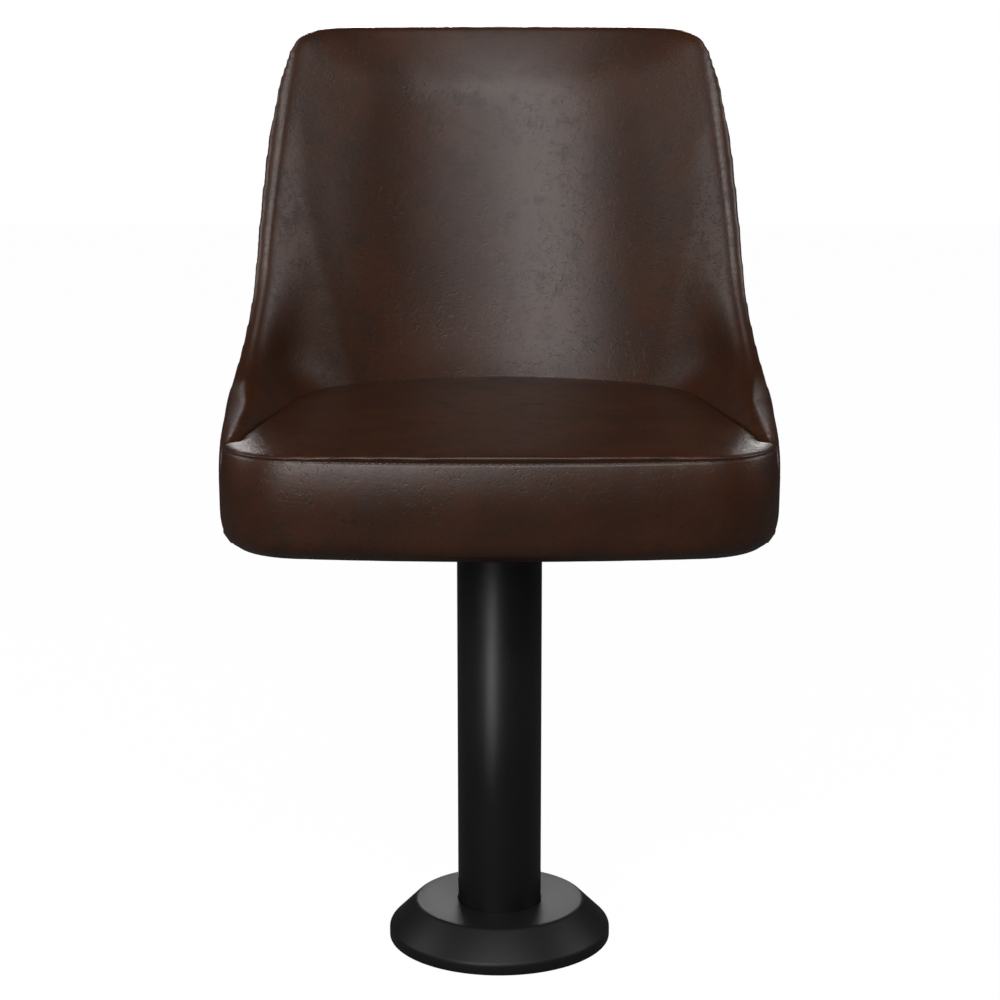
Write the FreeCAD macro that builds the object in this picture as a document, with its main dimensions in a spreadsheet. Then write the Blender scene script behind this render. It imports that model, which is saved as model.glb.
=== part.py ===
import FreeCAD, Part
import math
import os
import re
from collections import namedtuple

import Sketcher

# Bolt-down swivel chair: an upholstered bucket seat that turns on a fixed steel column.
# Millimetres. The floor is z = 0, the column's axis is the Z axis, and the sitter faces -Y.

# Driving dimensions: name, value, what it measures.
SIZES = [
    ("flange_margin", 12.6, "floor disc's edge inside the base cover's outside"),
    ("flange_thickness", 8, "floor disc"),
    ("anchor_edge", 19, "floor bolt's axis from the edge of the floor disc"),
    ("anchor_hole", 11, "hole for one floor bolt"),
    ("anchor_count", 4, "floor bolts"),
    ("column_diameter", 76.2, "outside of the column tube"),
    ("column_wall", 3, "column tube"),
    ("column_top_height", 372, "top end of the tube above the floor"),
    ("weld_leg", 5, "fillet weld round the foot of the column"),
    ("cover_diameter", 203.2, "base cover at its rim"),
    ("cover_rim_height", 10, "upright rim of the base cover"),
    ("cover_slope_width", 24.6, "sloping side of the base cover, seen from above"),
    ("cover_height", 34.6, "base cover"),
    ("cover_sheet", 2, "sheet of the base cover"),
    ("cover_clearance", 0.5, "base cover round the column"),
    ("housing_depth", 50, "bearing housing inside the tube"),
    ("collar_thickness", 6, "shoulder of the housing on the tube"),
    ("spindle_diameter", 30, "turning spindle"),
    ("bush_wall", 3, "bronze bush"),
    ("bush_length", 20, "bronze bush"),
    ("running_clearance", 0.05, "spindle in its bushes, at the radius"),
    ("race_play", 5, "spindle in the ball races, at the radius"),
    ("race_margin", 3.1, "ball races inside the outside of the column"),
    ("race_thickness", 4, "one ball race"),
    ("ball_diameter", 8, "bearing ball"),
    ("ball_inset", 0.5, "circle of the balls inside the middle of the races"),
    ("ball_count", 12, "balls in the cage"),
    ("groove_depth", 1.2, "ball groove in each race"),
    ("ball_play", 0.02, "ball to the bottom of its groove"),
    ("cage_thickness", 2, "ball cage"),
    ("cage_width", 12, "ball cage across its ring"),
    ("cage_pocket_play", 0.15, "ball in its pocket, at the radius"),
    ("stud_diameter", 20, "threaded lower end of the spindle"),
    ("retainer_diameter", 48, "washer that keeps the spindle in"),
    ("retainer_thickness", 3, "the same washer"),
    ("retainer_play", 0.5, "washer below the housing"),
    ("nut_width", 30, "spindle nut across its flats"),
    ("nut_height", 12, "spindle nut"),
    ("stud_overhang", 3, "thread below the nut"),
    ("spindle_weld_leg", 3, "weld of the spindle to the plate"),
    ("shroud_play", 0.6, "dust ring round the housing collar"),
    ("shroud_wall", 1.5, "dust ring"),
    ("shroud_depth", 22, "dust ring below the seat plate"),
    ("plate_width", 200, "square seat plate"),
    ("plate_thickness", 5, "seat plate"),
    ("plate_corner", 14, "rounding of the plate's corners"),
    ("plate_bolt_edge", 20, "seat bolt's axis from the plate's edges"),
    ("bolt_diameter", 8, "seat bolt"),
    ("bolt_hole_play", 0.5, "seat bolt in its hole, at the radius"),
    ("bolt_head_width", 13, "seat bolt across its flats"),
    ("bolt_head_height", 5.3, "seat bolt"),
    ("washer_diameter", 20, "seat bolt washer"),
    ("washer_thickness", 1.6, "seat bolt washer"),
    ("tee_nut_flange", 22, "tee nut"),
    ("tee_nut_flange_thickness", 1.5, "tee nut"),
    ("tee_nut_barrel", 11, "tee nut"),
    ("tee_nut_length", 10, "tee nut"),
    ("bolt_sink", 1, "seat bolt's end below the board's top"),
    ("board_thickness", 15, "plywood seat board"),
    ("board_play", 0.6, "seat board inside the back shell"),
    ("board_front_foam", 3, "foam between the board and the foot of the band"),
    ("dust_cloth", 0.8, "cloth under the seat"),
    ("dust_cloth_inset", 30, "cloth from the edge of the seat"),
    ("staple_count", 16, "staples of the cloth"),
    ("staple_width", 11, "one staple"),
    ("staple_wire", 0.9, "staple wire"),
    ("staple_leg", 6, "staple"),
    ("staple_edge", 12, "staples from the edge of the cloth"),
    ("seat_width", 480, "whole seat"),
    ("seat_front", 209, "front of the cushion from the column's axis"),
    ("seat_rear", 263, "rear of the shell at the seat board"),
    ("seat_front_radius", 1300, "slight bow of the front"),
    ("seat_corner_radius", 75, "front corners in plan"),
    ("rear_radius", 300, "back of the shell in plan"),
    ("rear_turn", 26, "degrees of that arc each side"),
    ("shoulder_turn", 70, "degrees where the rear corner ends"),
    ("flank_radius", 405, "rear part of the sides in plan"),
    ("side_radius", 1400, "front part of the sides in plan"),
    ("back_rise", 420.56, "top of the back above the seat's underside"),
    ("back_recline", 52, "rearward lean of the back over its height"),
    ("back_taper", 0.035, "narrowing of the shell over its height"),
    ("back_depth_low", 59, "padded back at the seat board"),
    ("back_depth_high", 25, "padded back at its top"),
    ("side_depth_low", 51, "padded side below the cushion's top"),
    ("side_depth_high", 20, "padded side near the rim"),
    ("bowl_drop", 12, "padded side begins to thin below the cushion's seam"),
    ("bowl_rise", 38, "it has thinned above the seam"),
    ("side_level_low", 60, "where the low side depth is taken, behind the axis"),
    ("side_level_high", 160, "where the high side depth is taken, behind the axis"),
    ("inner_rear_spare", 18, "arc of the padded face's rear beyond half the seat's width"),
    ("inner_corner_low", 95, "inner corners in plan at the seat board"),
    ("inner_corner_high", 130, "inner corners in plan at the top"),
    ("wing_tip", 11, "thickness of the wing at its front"),
    ("wing_front", 118, "front of the wings from the column's axis"),
    ("wing_nose_radius", 35, "rounding of the wing's nose"),
    ("wing_top_rise", 31, "wing's upper edge above the cushion's seam, at its level"),
    ("wing_top_level", 27, "where that height is taken, behind the axis"),
    ("wing_slope", 14, "fall of the wing's upper edge, degrees"),
    ("rim_foot_rise", 210.56, "point on the steep edge above the seat's underside"),
    ("rim_foot_rear", 132, "the same point, behind the axis"),
    ("rim_lean", 21, "lean of that steep edge, degrees"),
    ("rim_sweep_radius", 153, "sweep from the back into the wing"),
    ("top_corner_radius", 58, "top corners of the back"),
    ("top_corner_inset", 31.5, "top corner's end inside the seat's half width"),
    ("top_corner_drop", 8, "upright stretch below the top corner"),
    ("edge_roll", 12, "padded roll round the back's edge"),
    ("skin", 1.6, "upholstery cover"),
    ("shell_thickness", 10, "bent plywood of the back"),
    ("shell_edge", 16, "plywood behind the rim of the back"),
    ("shell_wing_edge", 66, "plywood behind the wing's front"),
    ("screw_diameter", 5, "back screw"),
    ("screw_length", 36, "back screw"),
    ("screw_head", 10, "back screw"),
    ("screw_head_height", 3, "back screw"),
    ("screw_recess", 0.8, "back screw below the plywood's outer face"),
    ("screw_count", 7, "back screws round the shell"),
    ("screw_reach", 88, "degrees from the rear to the foremost screws"),
    ("cushion_play", 0.4, "cushion between the wings"),
    ("cushion_depth", 84.56, "seam of the cushion above the seat's underside"),
    ("crown_rise", 8, "middle of the cushion above the seam"),
    ("crown_radius", 7000, "dome of the cushion's top"),
    ("band_bulge", 1.5, "swell of the cushion's band"),
    ("band_tuck", 20, "turn of the band under the seat"),
    ("band_round", 15, "height of that turn"),
    ("band_lean", 8, "foot of the cushion's front behind its seam"),
    ("band_set", 2.4, "seam of the band inside the back's outline"),
]

# Worked-out dimensions: name and formula, in the order in which they depend on each other.
DERIVED = [
    ("flange_diameter", "cover_diameter - 2 * flange_margin"),
    ("anchor_circle", "flange_diameter - 2 * anchor_edge"),
    ("column_radius", "column_diameter / 2"),
    ("column_bore_radius", "column_radius - column_wall"),
    ("weld_radius", "column_radius + weld_leg"),
    ("weld_top", "flange_thickness + weld_leg"),
    ("column_length", "column_top_height - flange_thickness"),
    ("cover_radius", "cover_diameter / 2"),
    ("cover_inner_radius", "cover_radius - cover_sheet"),
    ("cover_top_radius", "cover_radius - cover_slope_width"),
    ("cover_bend", "cover_sheet * tan(atan((cover_height - cover_rim_height)"
                   " / (cover_radius - cover_top_radius)) / 2)"),
    ("cover_inner_top_radius", "cover_top_radius - cover_bend"),
    ("cover_inner_rim_height", "cover_rim_height - cover_bend"),
    ("cover_inner_height", "cover_height - cover_sheet"),
    ("cover_hole_radius", "column_radius + cover_clearance"),
    ("housing_bottom", "column_top_height - housing_depth"),
    ("collar_top", "column_top_height + collar_thickness"),
    ("spindle_radius", "spindle_diameter / 2"),
    ("race_bore", "spindle_diameter + 2 * race_play"),
    ("race_diameter", "column_diameter - 2 * race_margin"),
    ("ball_circle", "(race_bore + race_diameter) / 2 - 2 * ball_inset"),
    ("bush_inner_radius", "spindle_radius + running_clearance"),
    ("bush_outer_radius", "bush_inner_radius + bush_wall"),
    ("lower_bush_top", "housing_bottom + bush_length"),
    ("upper_bush_bottom", "collar_top - bush_length"),
    ("lower_race_top", "collar_top + race_thickness"),
    ("ball_centre", "lower_race_top - groove_depth + ball_play + ball_diameter / 2"),
    ("upper_race_bottom", "ball_centre + ball_diameter / 2 + ball_play - groove_depth"),
    ("cage_bottom", "ball_centre - cage_thickness / 2"),
    ("cage_inner_radius", "(ball_circle - cage_width) / 2"),
    ("cage_outer_radius", "(ball_circle + cage_width) / 2"),
    ("plate_bottom", "upper_race_bottom + race_thickness"),
    ("plate_top", "plate_bottom + plate_thickness"),
    ("plate_bolt_spacing", "plate_width - 2 * plate_bolt_edge"),
    ("spindle_weld_radius", "spindle_radius + spindle_weld_leg"),
    ("spindle_weld_bottom", "plate_bottom - spindle_weld_leg"),
    ("retainer_radius", "retainer_diameter / 2"),
    ("retainer_top", "housing_bottom - retainer_play"),
    ("retainer_bottom", "retainer_top - retainer_thickness"),
    ("nut_bottom", "retainer_bottom - nut_height"),
    ("stud_radius", "stud_diameter / 2"),
    ("stud_bottom", "nut_bottom - stud_overhang"),
    ("shroud_inner_radius", "column_radius + shroud_play"),
    ("shroud_outer_radius", "shroud_inner_radius + shroud_wall"),
    ("shroud_bottom", "plate_bottom - shroud_depth"),
    ("washer_bottom", "plate_bottom - washer_thickness"),
    ("bolt_head_bottom", "washer_bottom - bolt_head_height"),
    ("seat_base", "plate_top + dust_cloth"),
    ("board_top", "seat_base + board_thickness"),
    ("tee_nut_flange_bottom", "board_top - tee_nut_flange_thickness"),
    ("tee_nut_bottom", "board_top - tee_nut_length"),
    ("bolt_length", "board_top - washer_bottom - bolt_sink"),
    ("seam_height", "seat_base + cushion_depth"),
    ("cushion_top", "seam_height + crown_rise"),
    ("back_height", "seat_base + back_rise"),
    ("bowl_foot", "seam_height - bowl_drop"),
    ("bowl_rim", "seam_height + bowl_rise"),
    ("wing_top_height", "seam_height + wing_top_rise"),
    ("rim_foot_height", "seat_base + rim_foot_rise"),
    ("top_half_width", "seat_width / 2 - top_corner_inset"),
    ("inner_rear_radius", "seat_width / 2 + inner_rear_spare"),
]

doc = FreeCAD.newDocument("swivel_chair")
sheet = doc.addObject("Spreadsheet::Sheet", "sizes")
for row, (alias, size, meaning) in enumerate(SIZES, start=1):
    sheet.set(f"A{row}", meaning)
    sheet.set(f"B{row}", str(size))
    sheet.setAlias(f"B{row}", alias)
size_names = {alias for alias, size, meaning in SIZES}
derived = doc.addObject("App::VarSet", "derived")
derived_names = {name for name, text in DERIVED}


def formula(text, own=""):
    """A formula's text with each name led by the object that holds it."""

    def owner(match):
        word = match.group(0)
        if word in size_names:
            return "sizes." + word
        return own + word if word in derived_names else word

    return re.sub(r"[a-z][a-z_]*", owner, text)


for name, text in DERIVED:
    derived.addProperty("App::PropertyFloat", name)
    derived.setExpression(name, formula(text))
doc.recompute()


def value(name):
    """The present number of a driving or worked-out dimension."""
    return sheet.get(name) if name in size_names else getattr(derived, name)


def bind(item, prop, text):
    """Ties a property of an object to a formula."""
    item.setExpression(prop, formula(text, "derived."))


def up(height, x=0, y=0):
    """A point in the chair's frame."""
    return FreeCAD.Vector(x, y, height)


# Builders of plain pieces.

def origin_plane(body, role):
    """One of the body's own origin planes."""
    return next(item for item in body.Origin.OriginFeatures if item.Role == role)


def sketch_on(body, role, name):
    """An empty sketch on one of the body's origin planes."""
    sketch = body.newObject("Sketcher::SketchObject", name)
    sketch.AttachmentSupport = (origin_plane(body, role), [""])
    sketch.MapMode = "FlatFace"
    return sketch


def turned(label, corners):
    """A body turned round the Z axis: its section's corners are (radius, height) names."""
    body = doc.addObject("PartDesign::Body", label)
    sketch = sketch_on(body, "XZ_Plane", label + "_section")
    places = [up(0, 0 if r == "0" else value(r), 0 if h == "0" else value(h)) for r, h in corners]
    for index, place in enumerate(places):
        sketch.addGeometry(Part.LineSegment(place, places[(index + 1) % len(places)]), False)
    for index, (radius, height) in enumerate(corners):
        sketch.addConstraint(
            Sketcher.Constraint("Coincident", index, 2, (index + 1) % len(corners), 1))
        for kind, axis, text, seed in (("DistanceX", -2, radius, places[index].x),
                                       ("DistanceY", -1, height, places[index].y)):
            if text == "0":
                sketch.addConstraint(Sketcher.Constraint("PointOnObject", index, 1, axis))
                continue
            number = sketch.addConstraint(Sketcher.Constraint(kind, -1, 1, index, 1, seed))
            sketch.renameConstraint(number, f"{kind}_{index}")
            bind(sketch, f"Constraints.{kind}_{index}", text)
    turn = body.newObject("PartDesign::Revolution", label + "_turn")
    turn.Profile = sketch
    turn.ReferenceAxis = (sketch, ["V_Axis"])
    turn.Angle = 360
    return body


def cylinder(name, radius, length, height, x="0", y="0"):
    """An upright cylinder whose foot is at the given height."""
    piece = doc.addObject("Part::Cylinder", name)
    bind(piece, "Radius", radius)
    bind(piece, "Height", length)
    for axis, text in (("x", x), ("y", y), ("z", height)):
        bind(piece, "Placement.Base." + axis, text)
    return piece


def hexagon(name, width, length, height, x="0", y="0"):
    """An upright hexagonal prism, given by its width across the flats."""
    piece = doc.addObject("Part::Prism", name)
    piece.Polygon = 6
    bind(piece, "Circumradius", f"({width}) / sqrt(3)")
    bind(piece, "Height", length)
    for axis, text in (("x", x), ("y", y), ("z", height)):
        bind(piece, "Placement.Base." + axis, text)
    return piece


def cut(label, base, tool):
    """The first piece less the second."""
    piece = doc.addObject("Part::Cut", label)
    piece.Base = base
    piece.Tool = tool
    return piece


def fused(label, base, tool):
    """Two pieces made one."""
    piece = doc.addObject("Part::Fuse", label)
    piece.Base = base
    piece.Tool = tool
    return piece


def group(label, pieces):
    """Separate solids that share one node."""
    piece = doc.addObject("Part::Compound", label)
    piece.Links = pieces
    return piece


def shaped(label, shape):
    """A piece whose shape is worked out in this file from the sheet's sizes."""
    piece = doc.addObject("Part::Feature", label)
    piece.Shape = shape
    piece.Placement = FreeCAD.Placement()
    return piece


# Pedestal: floor disc, column, weld and bearing housing.

def hole_pattern(body, sketch_name, radius, distance, count, depth):
    """Holes through a padded disc or plate, spaced evenly on a circle."""
    sketch = sketch_on(body, "XY_Plane", sketch_name)
    spot = FreeCAD.Vector(value(distance), 0, 0)
    sketch.addGeometry(Part.Circle(spot, FreeCAD.Vector(0, 0, 1), value(radius) / 2), False)
    sketch.addConstraint(Sketcher.Constraint("PointOnObject", 0, 3, -1))
    offset = sketch.addConstraint(Sketcher.Constraint("DistanceX", -1, 1, 0, 3, spot.x / 2))
    sketch.renameConstraint(offset, "offset")
    bind(sketch, "Constraints.offset", f"{distance} / 2")
    bore = sketch.addConstraint(Sketcher.Constraint("Diameter", 0, value(radius)))
    sketch.renameConstraint(bore, "bore")
    bind(sketch, "Constraints.bore", radius)
    pocket = body.newObject("PartDesign::Pocket", sketch_name + "_cut")
    pocket.Profile = sketch
    pocket.Reversed = True
    bind(pocket, "Length", depth)
    body.Tip = pocket
    pattern = body.newObject("PartDesign::PolarPattern", sketch_name + "_pattern")
    pattern.Originals = [pocket]
    pattern.Axis = (sketch, ["N_Axis"])
    pattern.Angle = 360
    bind(pattern, "Occurrences", count)
    body.Tip = pattern
    return pattern


def floor_flange():
    """Steel disc with the floor bolts' holes."""
    body = doc.addObject("PartDesign::Body", "floor_flange")
    sketch = sketch_on(body, "XY_Plane", "flange_outline")
    centre = FreeCAD.Vector(0, 0, 0)
    axis = FreeCAD.Vector(0, 0, 1)
    sketch.addGeometry(Part.Circle(centre, axis, value("flange_diameter") / 2), False)
    sketch.addConstraint(Sketcher.Constraint("Coincident", 0, 3, -1, 1))
    sketch.addConstraint(Sketcher.Constraint("Diameter", 0, value("flange_diameter")))
    sketch.renameConstraint(1, "across")
    bind(sketch, "Constraints.across", "flange_diameter")
    pad = body.newObject("PartDesign::Pad", "flange_pad")
    pad.Profile = sketch
    bind(pad, "Length", "flange_thickness")
    body.Tip = pad
    doc.recompute()
    hole_pattern(body, "anchor_holes", "anchor_hole", "anchor_circle", "anchor_count",
                 "flange_thickness")
    return body


def column_tube():
    """Round tube that stands on the floor disc."""
    outside = cylinder("column_outside", "column_radius", "column_length", "flange_thickness")
    inside = cylinder("column_inside", "column_bore_radius", "column_length", "flange_thickness")
    return cut("column_tube", outside, inside)


def ring(label, inner, outer, bottom, top):
    """A plain turned ring between two radii and two heights."""
    return turned(label, [(inner, bottom), (outer, bottom), (outer, top), (inner, top)])


parts = [
    floor_flange(),
    column_tube(),
    turned("column_weld", [("column_radius", "flange_thickness"),
                           ("weld_radius", "flange_thickness"),
                           ("column_radius", "weld_top")]),
    turned("bearing_housing", [("bush_outer_radius", "housing_bottom"),
                               ("column_bore_radius", "housing_bottom"),
                               ("column_bore_radius", "column_top_height"),
                               ("column_radius", "column_top_height"),
                               ("column_radius", "collar_top"),
                               ("bush_outer_radius", "collar_top")]),
    ring("lower_bush", "bush_inner_radius", "bush_outer_radius", "housing_bottom",
         "lower_bush_top"),
    ring("upper_bush", "bush_inner_radius", "bush_outer_radius", "upper_bush_bottom",
         "collar_top"),
]


# Ball bearing: two grooved races with a cage of balls between them.

def groove(name):
    """The ring that the balls sweep, which is cut from both races."""
    piece = doc.addObject("Part::Torus", name)
    bind(piece, "Radius1", "ball_circle / 2")
    bind(piece, "Radius2", "ball_diameter / 2 + ball_play")
    bind(piece, "Placement.Base.z", "ball_centre")
    return piece


def race(label, bottom, top):
    """A flat ring with the ball groove in it."""
    thickness = f"{top} - {bottom}"
    blank = cylinder(label + "_blank", "race_diameter / 2", thickness, bottom)
    bore = cylinder(label + "_bore", "race_bore / 2", thickness, bottom)
    return cut(label, cut(label + "_ring", blank, bore), groove(label + "_groove"))


def around(count_name, radius, turn=0.0):
    """Places spaced evenly on a circle, as (angle, x, y) formulas."""
    count = int(value(count_name))
    for index in range(count):
        angle = f"{turn + 360.0 * index / count:.6g} deg"
        yield index, f"({radius}) * cos({angle})", f"({radius}) * sin({angle})"


def bearing_balls():
    """The balls, at even spacing."""
    balls = []
    for index, x, y in around("ball_count", "ball_circle / 2"):
        ball = doc.addObject("Part::Sphere", f"ball_{index}")
        bind(ball, "Radius", "ball_diameter / 2")
        for axis, text in (("x", x), ("y", y), ("z", "ball_centre")):
            bind(ball, "Placement.Base." + axis, text)
        balls.append(ball)
    return group("bearing_balls", balls)


def ball_cage():
    """Thin ring with a pocket for each ball."""
    blank = cylinder("cage_blank", "cage_outer_radius", "cage_thickness", "cage_bottom")
    bore = cylinder("cage_bore", "cage_inner_radius", "cage_thickness", "cage_bottom")
    pockets = []
    for index, x, y in around("ball_count", "ball_circle / 2"):
        pockets.append(cylinder(f"cage_pocket_{index}", "ball_diameter / 2 + cage_pocket_play",
                                "cage_thickness", "cage_bottom", x, y))
    openings = doc.addObject("Part::MultiFuse", "cage_pockets")
    openings.Shapes = pockets
    return cut("ball_cage", cut("cage_ring", blank, bore), openings)


parts += [
    race("lower_race", "collar_top", "lower_race_top"),
    ball_cage(),
    bearing_balls(),
    race("upper_race", "upper_race_bottom", "plate_bottom"),
]


# Turning head: spindle, its retaining washer and nut, the dust ring and the seat plate.

def spindle_nut():
    """Hexagonal nut on the spindle's thread."""
    blank = hexagon("nut_blank", "nut_width", "nut_height", "nut_bottom")
    bore = cylinder("nut_bore", "stud_radius", "nut_height", "nut_bottom")
    return cut("spindle_nut", blank, bore)


def plate_blank():
    """Square steel plate with rounded corners that carries the seat board."""
    body = doc.addObject("PartDesign::Body", "plate_blank")
    sketch = sketch_on(body, "XY_Plane", "plate_outline")
    half = value("plate_width") / 2
    places = [up(0, x, y) for x, y in ((-half, -half), (half, -half), (half, half), (-half, half))]
    for index, place in enumerate(places):
        sketch.addGeometry(Part.LineSegment(place, places[(index + 1) % 4]), False)
    for index in range(4):
        sketch.addConstraint(Sketcher.Constraint("Coincident", index, 2, (index + 1) % 4, 1))
        direction = "Horizontal" if index % 2 == 0 else "Vertical"
        sketch.addConstraint(Sketcher.Constraint(direction, index))
    sketch.addConstraint(Sketcher.Constraint("Symmetric", 0, 1, 2, 1, -1, 1))
    for kind, edge in (("DistanceX", 0), ("DistanceY", 1)):
        number = sketch.addConstraint(Sketcher.Constraint(kind, edge, 1, edge, 2, 2 * half))
        sketch.renameConstraint(number, kind)
        bind(sketch, "Constraints." + kind, "plate_width")
    pad = body.newObject("PartDesign::Pad", "plate_pad")
    pad.Profile = sketch
    bind(pad, "Length", "plate_thickness")
    body.Tip = pad
    doc.recompute()
    uprights = [f"Edge{number}" for number, edge in enumerate(pad.Shape.Edges, start=1)
                if abs(edge.tangentAt(edge.FirstParameter).z) > 0.99]
    corners = body.newObject("PartDesign::Fillet", "plate_corners")
    corners.Base = (pad, uprights)
    bind(corners, "Radius", "plate_corner")
    body.Tip = corners
    doc.recompute()
    bind(body, "Placement.Base.z", "plate_bottom")
    return body


def mounting_plate():
    """The plate with its bolt holes and the spindle's bore."""
    plate = plate_blank()
    bores = [cylinder("spindle_bore", "spindle_radius", "plate_thickness", "plate_bottom")]
    for index, x, y in bolt_places():
        bores.append(cylinder(f"plate_hole_{index}", "bolt_diameter / 2 + bolt_hole_play",
                              "plate_thickness", "plate_bottom", x, y))
    openings = doc.addObject("Part::MultiFuse", "plate_holes")
    openings.Shapes = bores
    return cut("mounting_plate", plate, openings)


def bolt_places():
    """The four seat bolts, as (number, x, y) formulas."""
    signs = ((1, 1), (-1, 1), (-1, -1), (1, -1))
    for index, (x_sign, y_sign) in enumerate(signs):
        yield index, f"{x_sign} * plate_bolt_spacing / 2", f"{y_sign} * plate_bolt_spacing / 2"


def plate_bolts():
    """Hexagon bolts up through the plate and the board."""
    bolts = []
    for index, x, y in bolt_places():
        head = hexagon(f"bolt_head_{index}", "bolt_head_width", "bolt_head_height",
                       "bolt_head_bottom", x, y)
        shank = cylinder(f"bolt_shank_{index}", "bolt_diameter / 2", "bolt_length",
                         "washer_bottom", x, y)
        bolts.append(fused(f"bolt_{index}", head, shank))
    return group("plate_bolts", bolts)


def plate_washers():
    """A flat washer under each bolt head."""
    washers = []
    for index, x, y in bolt_places():
        disc = cylinder(f"washer_disc_{index}", "washer_diameter / 2", "washer_thickness",
                        "washer_bottom", x, y)
        bore = cylinder(f"washer_bore_{index}", "bolt_diameter / 2 + bolt_hole_play / 2",
                        "washer_thickness", "washer_bottom", x, y)
        washers.append(cut(f"washer_{index}", disc, bore))
    return group("plate_washers", washers)


def tee_nuts():
    """Flanged nuts let into the top of the seat board."""
    nuts = []
    for index, x, y in bolt_places():
        flange = cylinder(f"tee_flange_{index}", "tee_nut_flange / 2", "tee_nut_flange_thickness",
                          "tee_nut_flange_bottom", x, y)
        barrel = cylinder(f"tee_barrel_{index}", "tee_nut_barrel / 2", "tee_nut_length",
                          "tee_nut_bottom", x, y)
        thread = cylinder(f"tee_thread_{index}", "bolt_diameter / 2", "tee_nut_length",
                          "tee_nut_bottom", x, y)
        nuts.append(cut(f"tee_nut_{index}", fused(f"tee_body_{index}", flange, barrel), thread))
    return group("tee_nuts", nuts)


parts += [
    turned("swivel_spindle", [("0", "stud_bottom"), ("stud_radius", "stud_bottom"),
                              ("stud_radius", "retainer_top"), ("spindle_radius", "retainer_top"),
                              ("spindle_radius", "plate_top"), ("0", "plate_top")]),
    turned("spindle_weld", [("spindle_radius", "spindle_weld_bottom"),
                            ("spindle_weld_radius", "plate_bottom"),
                            ("spindle_radius", "plate_bottom")]),
    turned("spindle_washer", [("stud_radius", "retainer_bottom"),
                              ("retainer_radius", "retainer_bottom"),
                              ("retainer_radius", "retainer_top"),
                              ("stud_radius", "retainer_top")]),
    spindle_nut(),
    ring("dust_ring", "shroud_inner_radius", "shroud_outer_radius", "shroud_bottom",
         "plate_bottom"),
    mounting_plate(),
    plate_bolts(),
    plate_washers(),
    tee_nuts(),
]


# Base cover: a spun steel bell that hides the floor bolts and lifts up the column.

parts.append(turned("base_cover", [
    ("cover_inner_radius", "0"),
    ("cover_radius", "0"),
    ("cover_radius", "cover_rim_height"),
    ("cover_top_radius", "cover_height"),
    ("cover_hole_radius", "cover_height"),
    ("cover_hole_radius", "cover_inner_height"),
    ("cover_inner_top_radius", "cover_inner_height"),
    ("cover_inner_radius", "cover_inner_rim_height"),
]))


# Plan curves of the seat. Turns are angles from the rear towards the right-hand side.

Bow = namedtuple("Bow", "x y radius start end")
# The back's wall runs on past its top, and cutting shapes reach well past the chair.
LOFT_SHARE = 1.02
BEYOND = 120
SHARPEST_NOSE = 2


def level(share):
    """Height of a share of the back, which is 0 at the seat board and 1 at the top."""
    return value("seat_base") + share * (value("back_height") - value("seat_base"))


def between(low, high, share):
    """The value at a share of the way from one dimension to another."""
    return value(low) + (value(high) - value(low)) * share


def on_bow(bow, turn, inset=0):
    """Point (x, y) of an arc that is moved towards its centre."""
    reach = bow.radius - inset
    return bow.x + reach * math.sin(turn), bow.y + reach * math.cos(turn)


def arc(bow, start, end, inset, height, side=1):
    """An arc of a plan curve as an edge; side -1 mirrors it to the left."""
    points = []
    for turn in (start, (start + end) / 2, end):
        x, y = on_bow(bow, turn, inset)
        points.append(up(height, side * x, y))
    return Part.Arc(*points).toShape()


def straight(first, second, height):
    """A straight edge between two (x, y) points."""
    return Part.LineSegment(up(height, *first), up(height, *second)).toShape()


def outer_bows(share):
    """The outside of the shell: rear, shoulder, flank and side arcs, each tangent to the next."""
    scale = 1 - value("back_taper") * share
    turns = [math.radians(value("rear_turn")), math.radians(value("shoulder_turn")), math.pi / 2]
    rear_sine, shoulder_sine = math.sin(turns[0]), math.sin(turns[1])
    shoulder = (value("seat_width") / 2 - value("rear_radius") * rear_sine
                - value("flank_radius") * (1 - shoulder_sine)) / (shoulder_sine - rear_sine)
    radii = [value("rear_radius"), shoulder, value("flank_radius"), value("side_radius")]
    x = 0
    y = value("seat_rear") + value("back_recline") * share - radii[0] * scale
    bows = []
    for index, radius in enumerate(radii):
        start = turns[index - 1] if index else 0
        if index:
            x += (radii[index - 1] - radius) * scale * math.sin(start)
            y += (radii[index - 1] - radius) * scale * math.cos(start)
        bows.append(Bow(x, y, radius * scale, start, turns[index] if index < 3 else None))
    return bows


def side_width(share, y, inset=0):
    """Half width of the shell's outside at a place along the chair."""
    flank, side = outer_bows(share)[2:]
    bow = flank if y > side.y else side
    return bow.x + math.sqrt((bow.radius - inset) ** 2 - (y - bow.y) ** 2)


def outer_edges(share, inset, front):
    """The shell's outside from the left front round the rear to the right front."""
    height = level(share)
    bows = outer_bows(share)
    last = bows[3]
    stop = math.acos((front - last.y) / (last.radius - inset))
    bows[3] = last._replace(end=stop)
    left = [arc(bow, bow.end, bow.start, inset, height, -1) for bow in bows[:0:-1]]
    middle = [arc(bows[0], -bows[0].end, bows[0].end, inset, height)]
    right = [arc(bow, bow.start, bow.end, inset, height) for bow in bows[1:]]
    return left + middle + right


def side_depth(height):
    """Depth of the padded side, which thins from the cushion up to the rim like a bowl."""
    rise = (height - value("bowl_foot")) / (value("bowl_rim") - value("bowl_foot"))
    thinning = (1 - math.cos(math.pi * min(max(rise, 0), 1))) / 2
    return between("side_depth_low", "side_depth_high", thinning)


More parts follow.
